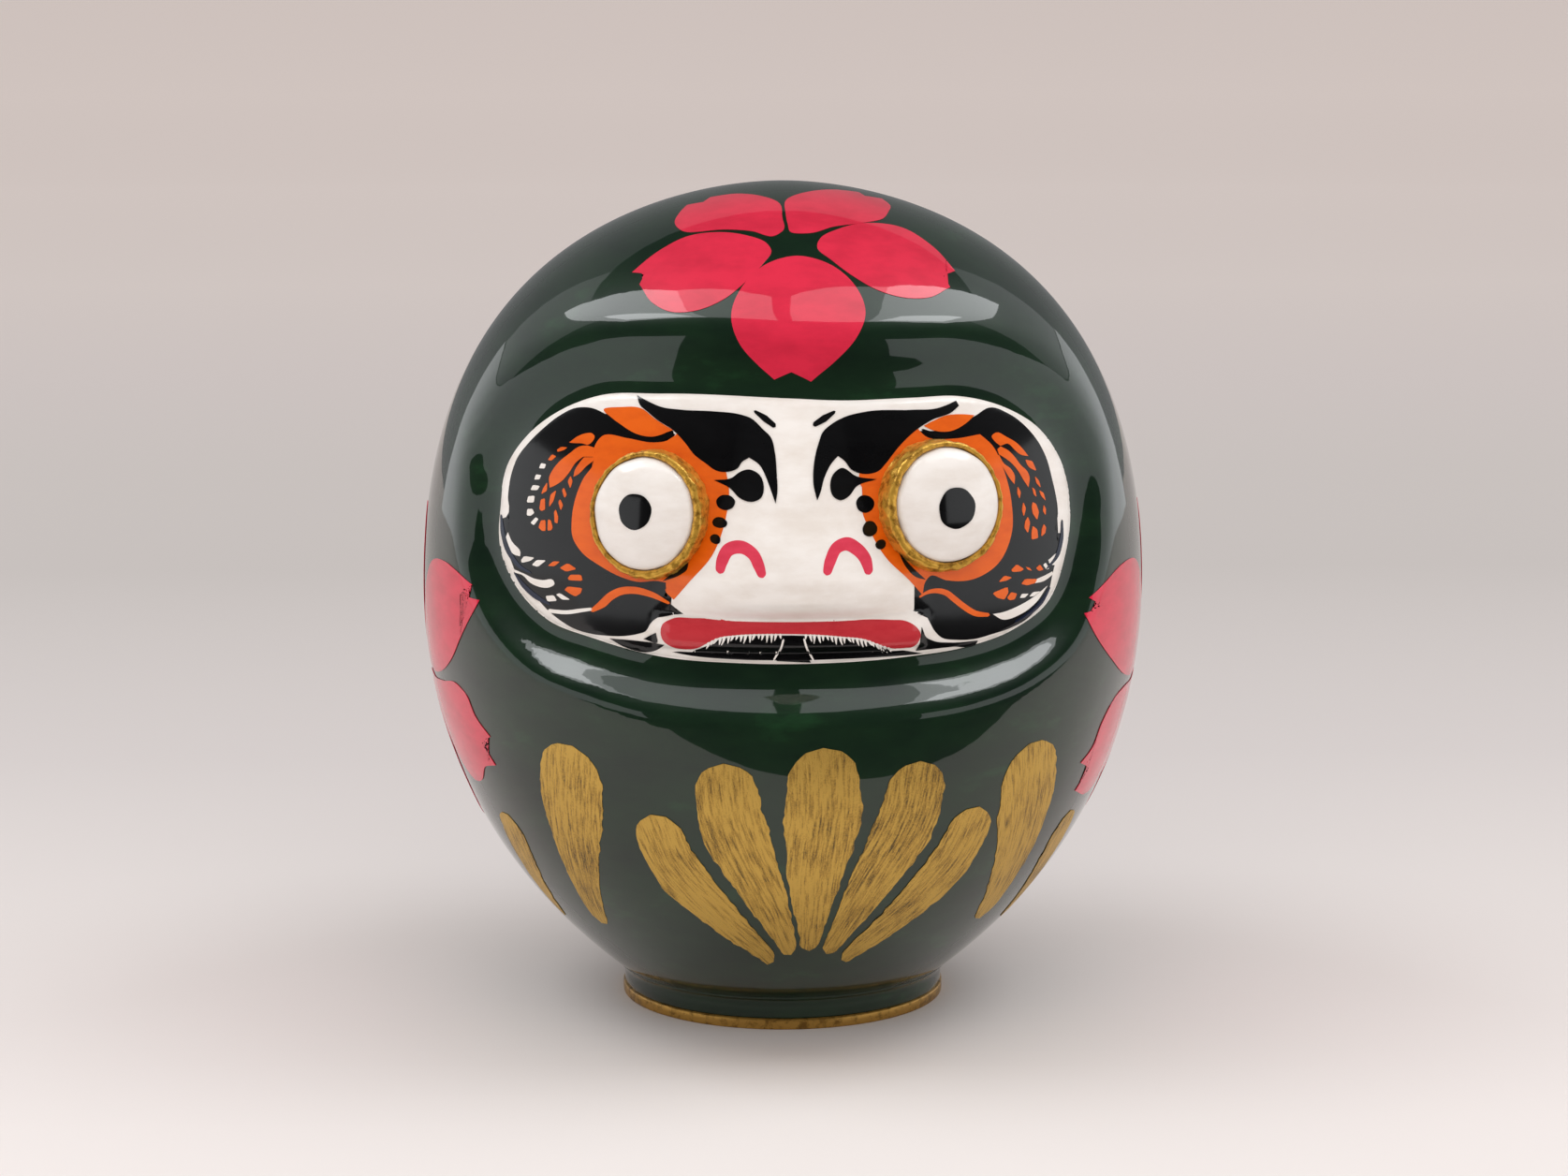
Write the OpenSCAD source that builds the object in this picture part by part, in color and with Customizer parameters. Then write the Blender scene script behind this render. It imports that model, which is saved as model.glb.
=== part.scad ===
// Daruma doll: a hollow papier-mache figure in two halves, with a face relief, domed eyes,
// a weighted bottom and a low foot.
// The frame has +Z up and its origin at the centre of the foot's underside. The face looks to -Y.

/* [Body] */
// Overall height
doll_h = 180; // [176:1:186]
// Diameter at the widest place
body_d = 157.4; // [154:0.1:162]
// Height of the widest place
waist_z = 93; // [90:0.5:96]
// Thickness of the paper wall
wall = 2; // [1.6:0.1:2.4]
// Width of the strip pasted over the joint inside
strip_w = 16; // [10:1:24]
// Thickness of that strip
strip_t = 0.8; // [0.4:0.1:1.2]

/* [Foot] */
// Outer diameter of the foot
foot_d = 70.6; // [69:0.1:72]
// Radial thickness of the foot
foot_wall = 3.8; // [3:0.1:4.2]
// Radius of the cove between the body and the foot
cove_r = 3; // [2.4:0.1:3.6]
// Height of the gilded rim
rim_h = 2.4; // [1.8:0.1:3]
// How far the rim stands out past the foot
rim_proud = 0.3; // [0.1:0.1:0.6]
// Height of the clay weight
weight_h = 10; // [6:1:12]
// Thickness of the closing disc
disc_t = 1.4; // [0.8:0.1:1.4]

/* [Face] */
// Width of the white face, edge to edge
face_w = 120; // [118:1:122]
// Height of the lower edge of the face
face_low_z = 86.5; // [85:0.5:88]
// Height of the upper edge of the face
face_high_z = 142; // [140:0.5:143]
// Corner radius of the face
face_corner = 24; // [20:1:26]
// How far the face lies behind the body's outline
face_depth = 8; // [7:0.1:9]
// Width of the green border at the sides of the face and below it
border_w = 8; // [6:0.5:9]
// Width of the green border above the face, up to the brow
brow_w = 14; // [12:0.5:15]
// Thickness of the face relief
mask_t = 3; // [3:0.1:3.6]
// How far the muzzle stands out from the face
muzzle_out = 8; // [6:0.5:8]

/* [Eyes] */
// Diameter of each eyeball
eye_d = 22.7; // [21:0.1:23]
// How far each eyeball stands out of its seat
eye_h = 8.5; // [7.5:0.1:9]
// Width of the paste ring
ring_w = 1.9; // [1.4:0.1:2.2]
// Height of the paste ring above the seat
ring_h = 5; // [4:0.1:5.4]
// Angle of the left eye from the face's middle line
left_eye_angle = 21.9; // [21:0.1:24]
// Height of the left eye
left_eye_z = 117.7; // [116:0.1:119]
// Angle of the right eye from the face's middle line
right_eye_angle = 23.5; // [21:0.1:24]
// Height of the right eye
right_eye_z = 118.3; // [116:0.1:119]

/* [Hidden] */
$fn = 96;

body_r = body_d / 2;
foot_r = foot_d / 2;
bore_r = foot_r - foot_wall;
fit_gap = 0.1;

// The body's outline is two cubic curves that meet upright at the waist.
outline_steps = 20;
keel_r = 30;
keel_z = 2.5;
keel_pull = [46.7, 14.5];
waist_pull_down = 52;
waist_pull_up = 82;
crown_pull_r = 13;

// The border round the face steps up to the body in this many steps.
border_steps = 2;
eye_seat = 1.7;
eye_tilt = 7;
lip_z = 93.5;
lip_r = 2.6;
lip_angle = 42;
muzzle_low_z = 98;
muzzle_low_r = 36;
muzzle_top_r = 12;
muzzle_h = 40;
muzzle_lean = 14;

green = [0.07, 0.16, 0.08];
white = [0.93, 0.92, 0.9];
gold = [0.72, 0.5, 0.18];
clay = [0.55, 0.42, 0.32];
board = [0.62, 0.52, 0.4];

// A point on the cubic curve from a to d with the pulls b and c
function cubic(a, b, c, d, t) =
    pow(1 - t, 3) * a + 3 * pow(1 - t, 2) * t * b + 3 * (1 - t) * t * t * c + pow(t, 3) * d;

// Outline points from the keel to the crown, drawn in by inset
function keel_curve(inset) = [for (i = [0 : outline_steps])
    cubic([keel_r - inset, keel_z + inset], keel_pull + [-inset, inset],
          [body_r - inset, waist_z - waist_pull_down], [body_r - inset, waist_z],
          i / outline_steps)];
function crown_curve(inset) = [for (i = [1 : outline_steps])
    cubic([body_r - inset, waist_z], [body_r - inset, waist_z + waist_pull_up - inset],
          [crown_pull_r, doll_h - inset], [0, doll_h - inset],
          i / outline_steps)];
function outline(inset = 0) = concat([[0, keel_z + inset]], keel_curve(inset), crown_curve(inset));

// Radius of the body at height z
function outline_r(z) = lookup(z, [for (p = concat(keel_curve(0), crown_curve(0))) [p[1], p[0]]]);

// Height of the body's underside at radius r
function underside_z(r) = lookup(r, keel_curve(0));

module body_solid(inset = 0) {
    rotate_extrude() polygon(outline(inset));
}

// Half of all space: side is -1 for the front and 1 for the back
module half_space(side) {
    translate([-body_d, (side - 1) * body_d, -doll_h]) cube([2 * body_d, 2 * body_d, 3 * doll_h]);
}

// The face's outline seen from the front. It grows by part of the border's width, and by grow.
module face_outline(part, grow) {
    side = border_w * part + grow;
    r = face_corner + side;
    half = face_w / 2 + side - r;
    low = face_low_z - side;
    high = face_high_z + brow_w * part + grow;
    for (x = [-half, half], z = [low + r, high - r])
        translate([x, z]) circle(r);
    translate([-half, low]) square([2 * half, high - low]);
    translate([-half - r, low + r]) square([2 * (half + r), high - low - 2 * r]);
}

module face_prism(part = 0, grow = 0) {
    rotate([90, 0, 0]) linear_extrude(body_d) face_outline(part, grow);
}

// The body's own surface set back into the doll
module set_back(depth, inset = 0) {
    translate([0, depth, 0]) body_solid(inset);
}

// The pan that the face lies in, with its stepped border
module pan(grow = 0) {
    difference() {
        face_prism(0, grow);
        set_back(face_depth, mask_t + grow);
    }
    for (i = [1 : border_steps])
        difference() {
            face_prism(i / border_steps, grow);
            set_back(face_depth * (border_steps + 1 - i) / (border_steps + 1), grow);
        }
}

module bottom_bore() {
    translate([0, 0, -1]) cylinder(r = bore_r, h = waist_z / 2);
}

// Places its children at an eye: the origin on the seat, +Z pointing out of the face
module at_eye(angle, height) {
    translate([0, face_depth, 0]) rotate([0, 0, angle])
        translate([0, eye_seat - outline_r(height), height]) rotate([90 - eye_tilt, 0, 0]) children();
}

module front_shell() {
    color(green) difference() {
        intersection() {
            body_solid();
            half_space(-1);
        }
        pan();
        difference() {
            body_solid(wall);
            pan(wall);
        }
        bottom_bore();
    }
}

module rear_shell() {
    color(green) difference() {
        intersection() {
            body_solid();
            half_space(1);
        }
        body_solid(wall);
        bottom_bore();
    }
}

module seam_strip() {
    color(board) difference() {
        intersection() {
            body_solid(wall);
            translate([-body_d, -strip_w / 2, weight_h + 3 * disc_t])
                cube([2 * body_d, strip_w, doll_h]);
        }
        body_solid(wall + strip_t);
    }
}

// A broad cone that leans out of the face, cut level below
module muzzle() {
    tip_r = outline_r(muzzle_low_z) - face_depth + muzzle_out;
    intersection() {
        translate([0, muzzle_low_r - tip_r, muzzle_low_z]) rotate([muzzle_lean, 0, 0])
            cylinder(r1 = muzzle_low_r, r2 = muzzle_top_r, h = muzzle_h);
        translate([-face_w / 2, -body_r, muzzle_low_z]) cube([face_w, body_r, muzzle_h]);
    }
}

module lips() {
    translate([0, face_depth, 0]) rotate([0, 0, -90 - lip_angle / 2]) rotate_extrude(angle = lip_angle)
        translate([outline_r(lip_z), lip_z]) circle(lip_r);
}

module eye_socket(angle, height) {
    at_eye(angle, height) cylinder(r = eye_d / 2 + ring_w, h = body_r);
}

module face_mask() {
    color(white) difference() {
        union() {
            intersection() {
                set_back(face_depth);
                face_prism();
            }
            muzzle();
            lips();
        }
        set_back(face_depth, mask_t);
        eye_socket(-left_eye_angle, left_eye_z);
        eye_socket(right_eye_angle, right_eye_z);
    }
}

module eyeball() {
    rim_up = ring_h - 1;
    rise = eye_h - rim_up;
    ball_r = (pow(eye_d / 2, 2) + rise * rise) / (2 * rise);
    intersection() {
        translate([0, 0, eye_h - ball_r]) sphere(ball_r);
        cylinder(r = eye_d / 2, h = eye_h);
    }
}

module paste_ring() {
    round_r = ring_w / 2;
    rotate_extrude() translate([eye_d / 2, 0]) {
        square([ring_w, ring_h - round_r]);
        translate([round_r, ring_h - round_r]) circle(round_r);
    }
}

module left_eye() {
    color(white) at_eye(-left_eye_angle, left_eye_z) eyeball();
}

module right_eye() {
    color(white) at_eye(right_eye_angle, right_eye_z) eyeball();
}

module left_eye_ring() {
    color(gold) at_eye(-left_eye_angle, left_eye_z) paste_ring();
}

module right_eye_ring() {
    color(gold) at_eye(right_eye_angle, right_eye_z) paste_ring();
}

// The collar under the body. Its cove runs out where it meets the body's underside.
module foot_ring() {
    edge_r = foot_r + 0.36 * cove_r;
    cove_z = underside_z(edge_r) - 0.8 * cove_r;
    color(green) difference() {
        rotate_extrude() difference() {
            translate([bore_r, rim_h]) square([edge_r - bore_r, cove_z + cove_r - rim_h]);
            translate([foot_r + cove_r, cove_z]) circle(cove_r);
            translate([foot_r, rim_h]) square([cove_r, cove_z - rim_h]);
        }
        body_solid();
    }
}

module foot_rim() {
    color(gold) rotate_extrude() translate([bore_r, 0]) square([foot_wall + rim_proud, rim_h]);
}

module ballast_weight() {
    color(clay) translate([0, 0, 2 * disc_t]) cylinder(r = bore_r - fit_gap, h = weight_h);
}

module base_disc() {
    color(board) translate([0, 0, disc_t]) cylinder(r = bore_r - fit_gap, h = disc_t);
}

front_shell();
rear_shell();
seam_strip();
face_mask();
left_eye();
right_eye();
left_eye_ring();
right_eye_ring();
foot_ring();
foot_rim();
ballast_weight();
base_disc();
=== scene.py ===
"""Daruma doll: lacquered papier-mache body, painted face in relief, raised eyes, gilt and gold brushwork.

Outlines are in millimetres and seen from the front: x runs to the right, along +X, and z is the height above
the table. Round the belly, x is measured along the skin from the middle of the front.
"""
import math

import bmesh
import bpy
import numpy as np
from bpy.props import FloatProperty, FloatVectorProperty, IntProperty, PointerProperty
from bpy.types import Operator, Panel, PropertyGroup
from mathutils import Matrix, Vector, noise


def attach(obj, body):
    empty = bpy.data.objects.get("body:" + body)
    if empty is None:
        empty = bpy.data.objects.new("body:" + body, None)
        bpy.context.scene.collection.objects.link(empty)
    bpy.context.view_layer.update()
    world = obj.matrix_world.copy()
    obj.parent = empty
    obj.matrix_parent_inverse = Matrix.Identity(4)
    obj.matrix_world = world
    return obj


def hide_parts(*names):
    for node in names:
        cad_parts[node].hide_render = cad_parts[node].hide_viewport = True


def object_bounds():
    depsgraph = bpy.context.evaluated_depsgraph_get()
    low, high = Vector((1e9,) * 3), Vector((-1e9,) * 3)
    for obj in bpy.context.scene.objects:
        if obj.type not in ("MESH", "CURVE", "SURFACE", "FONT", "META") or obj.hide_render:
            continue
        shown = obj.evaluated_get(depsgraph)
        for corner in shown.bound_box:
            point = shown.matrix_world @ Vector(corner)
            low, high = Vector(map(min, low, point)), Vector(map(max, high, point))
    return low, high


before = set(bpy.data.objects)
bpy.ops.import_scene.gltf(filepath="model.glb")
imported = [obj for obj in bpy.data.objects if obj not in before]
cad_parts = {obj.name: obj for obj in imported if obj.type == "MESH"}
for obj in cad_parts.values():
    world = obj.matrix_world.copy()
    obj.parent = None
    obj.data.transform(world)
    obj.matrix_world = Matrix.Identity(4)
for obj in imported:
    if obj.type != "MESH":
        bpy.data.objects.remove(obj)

bl_info = {
    "name": "Daruma doll",
    "version": (1, 0, 0),
    "blender": (4, 5, 0),
    "location": "View3D > Sidebar > Daruma",
    "description": "Builds a lacquered papier-mache doll with a painted face around its packed parts",
    "category": "Add Mesh",
}

MM = 0.001
TAU = 2 * math.pi
CAD_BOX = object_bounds()
BELLY_R = 75.0  # radius at which distances round the body are measured

# The body's outline is two curves that meet at the waist. Radius and height of its start, and where each
# curve is pulled to: past the foot, down and up from the waist, and out from the crown.
FOOT_START, FOOT_PULL = (30, 2.5), (46.7, 14.5)
WAIST_PULL_DOWN, WAIST_PULL_UP, CROWN_PULL = 52, 82, 13
PROFILE_POINTS = 400
# The skin is set back only inside this frame round the face: half width, lowest and highest
FACE_FRAME = (76, 70, 166)
BED_GAP = 0.6  # from the front of the face panel back to the skin under it
PANEL_THICK = 0.58
# Muzzle and nose: heights, how far they stand out there, and half their width
RELIEF_LEVELS = (90, 96, 97, 98.5, 101, 105, 110, 118, 128, 138, 142)
RELIEF_RISE = (0, 0, 1.6, 4.4, 7, 8.2, 7.4, 5.2, 3.2, 1.2, 0.8)
RELIEF_HALF = (30, 30, 30, 29.5, 29, 27, 22, 15, 12, 11, 11)
LIPS_Z, LIPS_HALF_HEIGHT, LIPS_HALF_WIDTH, LIPS_RISE = 93.4, 3.6, 29, 1.8
PANEL_RIM, PANEL_RIM_DROP = 1.6, 0.9
# The crown blossom is drawn in the plane that touches the body here: degrees from the front, and height
CROWN_TURN, CROWN_Z = 1, 168.0
# Each eye's bearing in degrees, height, shift in x and z, oval, pupil (x, z, width, height) and the bearing
# of the nose from it
EYES = {
    "left_eye": (-21.9, 117.7, (-0.65, -0.75), (0.96, 1.025), (-0.25, 0.5, 7.6, 6.9), -25),
    "right_eye": (23.5, 118.3, (0.5, 0.1), (1.03, 1.045), (0.0, -0.6, 8.2, 7.8), 205),
}
EYE_SEAT, EYE_OUT, EYE_LEAN = 4.0, 1.7, 83  # dome's lowest height, its seat's place and its lean in degrees
FRINGE_HAIRS = 44
FOOT_FLARE, FOOT_COVE, FOOT_STEPS = 1.3, 3.2, 240  # widening under the belly, its radius, steps round
SHARP_EDGE = math.radians(50)  # edges that turn more than this stay crisp


def hex_colour(code):
    """A sRGB hex colour as linear red, green, blue."""
    parts = [int(code[i:i + 2], 16) / 255 for i in (1, 3, 5)]
    return tuple(c / 12.92 if c <= 0.04045 else ((c + 0.055) / 1.055) ** 2.4 for c in parts)


# ---------------------------------------------------------------- outlines

# The white face panel. A third number marks a sharp corner.
PANEL = [(0, 140.3), (-26.5, 140.7), (-39, 139.6), (-47.6, 135.8), (-54.4, 130.2), (-58.7, 123.7),
         (-60.3, 115), (-60, 105.3), (-56.7, 98.9), (-50.3, 93.3), (-40.7, 90.6), (-28.2, 88.1), (-10, 87.2),
         (7.5, 87.2), (25, 87.9), (36.7, 88.9), (46.7, 91.4), (53.8, 95.6), (58.1, 105.2), (59.3, 113.3),
         (57.3, 124.3), (52.5, 131.4), (44.6, 136.6), (35, 139.5), (25, 139.8), (10, 139.8)]

BLACK_FIELDS = [
    [(-24, 133.7, 1), (-30, 133.5), (-36.5, 135.6), (-41, 137.1), (-44, 136.8), (-47.4, 135), (-50.8, 132.2),
     (-54, 128.9), (-56.5, 125.5), (-57.8, 122), (-58.5, 117.5), (-58.5, 113.5), (-59.9, 112.7, 1),
     (-59.4, 109.3), (-58.6, 106.4), (-56.9, 102, 1), (-53.2, 98.4), (-50, 95.3), (-47.3, 93.5),
     (-44.8, 92.3), (-41.5, 91.6), (-38.2, 91.5), (-34, 91.8), (-31.5, 92.4), (-29.8, 93.1), (-28.8, 94.8),
     (-27.3, 96.2), (-24.8, 96.8), (-22.1, 97.3, 1), (-24.8, 99.3), (-25.2, 103.2), (-21.3, 106.4),
     (-20.9, 108.3, 1), (-20, 118, 1)],
    [(24.5, 133.5, 1), (30, 133.2), (38.1, 135.4), (41.3, 136.8), (45.8, 135.1), (50, 131.6), (52.1, 128.9),
     (53.8, 125.6), (55, 121.4), (56.3, 113.9), (56, 110), (57.2, 109.8, 1), (56.7, 106.4), (55.8, 104.3),
     (54.2, 98.1, 1), (52.5, 96), (49.2, 93.1), (45.8, 91.8), (41.7, 91), (37.5, 90.4), (34.2, 90.6),
     (30.8, 91.4), (29.2, 93.1), (28.3, 94.8), (27.2, 96.6), (24.4, 97, 1), (26, 99.2), (26.5, 101, 1),
     (24.2, 104),
     (21.6, 109.8, 1), (20.5, 118, 1)],
]
ORANGE_CAPS = [
    [(-38.2, 137), (-34.5, 137.7), (-30.5, 137.7), (-27.5, 135.7), (-24, 133.8, 1), (-28.5, 132.3),
     (-31.5, 132.7), (-34.5, 134.2)],
    [(27.3, 134.3, 1), (29.2, 135.1), (32.1, 136), (35.4, 136), (38.1, 135.6, 1), (36.7, 134.5),
     (32.9, 132.9), (28.3, 133.7)],
]
ORANGE_FIELDS = [
    [(-22.6, 133.6, 1), (-21.1, 132), (-17, 128.4), (-15.3, 127.1), (-13.4, 126.6, 1), (-12.7, 122.3),
     (-13.4, 117), (-16.2, 109.7), (-20.7, 104.3), (-24, 100.2, 1), (-25.7, 102), (-25.2, 103.2),
     (-27, 103.6), (-31.5, 103.2), (-35, 104), (-39, 105.8), (-42.8, 108.2), (-44.7, 111), (-44.9, 114.5),
     (-44.1, 119), (-42.5, 123), (-40.2, 126.6), (-40.3, 129), (-38.5, 131.8), (-33, 131.7),
     (-28.2, 131.2), (-25.2, 131.7)],
    [(25.7, 134.2, 1), (27.5, 132.3), (33.3, 131.4), (39.2, 131.8, 1), (41.7, 129.5), (44.2, 124.3),
     (45.8, 117.7), (45.8, 111.4), (42.9, 105.6), (37.5, 102.9), (31.7, 103.2), (28.3, 104.3),
     (27.3, 103.2), (26.7, 100.6, 1), (24, 103.8), (19, 108.9), (15.4, 115.2), (14.4, 117.7),
     (14.8, 121.8), (13.8, 123.9), (14, 126), (16.4, 126.4), (18.6, 128.1), (21.5, 131.3)],
]
CRESCENTS = [
    [(-20.9, 108.3, 1), (-21.3, 106.4), (-22.8, 105.2), (-26.3, 103.6, 1), (-23.6, 106), (-22, 107.2)],
    [(21.6, 109.8, 1), (23.3, 106.4), (25.4, 104.3), (27.4, 103.6, 1), (25, 105.9), (22.9, 108.2)],
]
BROWS = [
    [(-31.3, 140.1, 1), (-29, 139.1), (-26.5, 138.2), (-22.3, 137.8), (-16, 137.7), (-10.3, 137.2),
     (-8.2, 136.6), (-5.7, 134.5), (-4.2, 133.1), (-3.4, 130.2), (-3.1, 126.4), (-3, 122.7), (-3.4, 120.5, 1),
     (-4.4, 123.3), (-5.3, 125.6), (-6.5, 127.7), (-8.6, 129, 1), (-10, 128.1), (-10.9, 126.8),
     (-12.8, 126), (-15.3, 126.2), (-17.3, 127.5), (-19.8, 129.3), (-21.5, 131.4), (-24, 133.8),
     (-27.3, 135.7), (-29.4, 137.3), (-30.7, 138.3)],
    [(34.2, 138.7, 1), (32.5, 138.1), (30, 137.5), (25, 137.5), (15, 137.5), (10.8, 136.6), (7.9, 135.2),
     (6.3, 133.9), (5.6, 132.3), (4.8, 129.8), (4.3, 126.8), (4.3, 123.9), (5, 121, 1), (5.6, 122.3),
     (6.5, 125.2), (7.9, 127.7), (9.4, 129.2, 1), (10.8, 128.1), (12.1, 126.4), (13.8, 125.6),
     (15.8, 125.4), (17.9, 126), (19.2, 127.3), (22.1, 130.6), (25, 133.1), (29.2, 135.4), (33.3, 136.6),
     (34.8, 137.7, 1)],
]
TEARS = [
    [(-8.5, 126.7), (-10.6, 126), (-12, 124.9), (-15.7, 124.3, 1), (-12.2, 122.6), (-10.6, 121.1),
     (-8.3, 120.5), (-6.3, 121.4), (-5.7, 123.6), (-6.5, 125.8)],
    [(9.9, 126.8), (8.3, 125.7), (7.7, 123.7), (8.3, 121.5), (9.9, 120.6), (11.6, 121.3), (13, 122.9),
     (17.3, 124.3, 1), (13.2, 125)],
]
DOTS = [(-13.4, 120, 3.8, 3), (-14.6, 116, 2.9, 2.1), (-15.5, 112.8, 2, 1.9),
        (14.9, 119.5, 3.7, 3.5), (15.8, 114.6, 3.1, 2.9), (18, 111.4, 2.2, 1.8)]
CHEEK_LEAVES = [
    [(-37.2, 91, 1), (-32, 91), (-26, 90.7, 1), (-27.5, 89.4), (-29.5, 88.8), (-33.5, 89.3)],
    [(-27.7, 93, 1), (-27.4, 91), (-30.2, 91.5, 1)],
    [(26.5, 94.1, 1), (27.5, 91.8), (29.2, 90.8), (32.5, 90.2), (38.5, 90, 1), (38.1, 89.3), (33.3, 89.3),
     (25.4, 89.1, 1), (26.5, 91.8)],
]
MOUTH = [(-26.7, 93.3), (-26.3, 95), (-24.4, 96.2), (-20, 96.5), (-9.8, 96.6), (10, 96.4), (20, 96),
         (23.3, 95.6), (25.4, 94.3), (26.3, 92.7), (25.4, 90.6), (22.9, 89.7), (20, 90.2), (17.5, 91.2),
         (15, 92.3), (10, 93.1), (5, 93.6), (0, 93.8), (-5.7, 93.8), (-11.9, 93.4), (-14.8, 92.9),
         (-17.3, 91.6), (-19.4, 90.4), (-21.9, 90), (-24.8, 90.6), (-26.3, 91.8)]
UNDER_LIP = [(-24.4, 89.1, 1), (-21.8, 89.5), (-19.2, 90.1), (-17, 91.2), (-14.5, 92.6), (-11.7, 93.1),
             (-5.7, 93.5), (0, 93.5), (5, 93.3), (10, 92.8), (15, 91.9), (17.5, 90.8), (20, 89.8),
             (22.9, 89.3), (27, 88.3, 1), (20, 88.2), (10, 88.1), (0, 88), (-12, 88.1), (-20, 88.5)]
CHIN_TUFT = [(-1.1, 92.9, 1), (1.7, 93.1, 1), (2.4, 90.5), (3.8, 87.5, 1), (-3.2, 87.9, 1), (-1.8, 90.6)]
NOSTRILS = [
    [(-14.8, 106.4), (-14.2, 108.9), (-13, 111), (-10.3, 111.8), (-8, 110.6), (-6.9, 108.5), (-6.1, 106.2)],
    [(6.7, 106.6), (7.5, 109.3), (9, 111.8), (10.8, 112.3), (12.9, 111.2), (14.6, 109.3), (15.6, 106)],
]
NOSTRIL_WIDTHS = (1.6, 2.3, 2.4, 2.5, 2.4, 2.3, 1.6)
# Feathered wings beside the eyes: long leaves first, then the short cuts between the black quills
WING_LEAVES = [
    [(-45.4, 129.9, 1), (-43.6, 131.3), (-42, 132), (-40.5, 132.1), (-40.1, 131.7), (-40.3, 130.9),
     (-41, 130.1, 1), (-41.6, 129.8, 1), (-42.8, 130), (-44.1, 129.9)],
    [(-41.6, 129.7, 1), (-43.1, 129.4), (-45.4, 127.7), (-47.4, 126), (-49, 123.9), (-49.6, 122.6),
     (-49.5, 120.5, 1), (-48.2, 121.2), (-46.7, 122.4), (-45.4, 124), (-44.1, 126), (-42.5, 127.4, 1),
     (-39.9, 127.6, 1), (-40.2, 129.4, 1)],
    [(-42.3, 127.3, 1), (-43.4, 125.9), (-44.2, 124.6), (-44.5, 123.2, 1), (-43.4, 123.9), (-41.8, 125.6),
     (-40.3, 126.8, 1), (-40.2, 127.5, 1)],
    [(41.7, 131.2), (42.6, 131.8), (45, 130.7), (47.4, 129.1), (48.8, 127.6), (49.7, 126.4, 1), (48, 126.9),
     (46.6, 128.1), (45.2, 129.4), (43.6, 129.1, 1), (42.4, 130.1)],
    [(43.6, 129, 1), (45.3, 128), (46.5, 126.8), (48, 124.8), (49.4, 123.4), (49.9, 122.1), (49.6, 120.2, 1),
     (48.6, 121.7), (47.2, 124), (45.9, 125.5), (44.4, 126.7), (43.2, 127.5, 1), (42.9, 128.5, 1)],
    [(43.2, 127.4, 1), (44.3, 125.5), (45.6, 124.5), (46.6, 122.8), (46.5, 121.2, 1), (45.6, 122.3),
     (44.8, 123.6), (43.5, 125.7), (42.7, 127, 1)],
]
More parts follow.
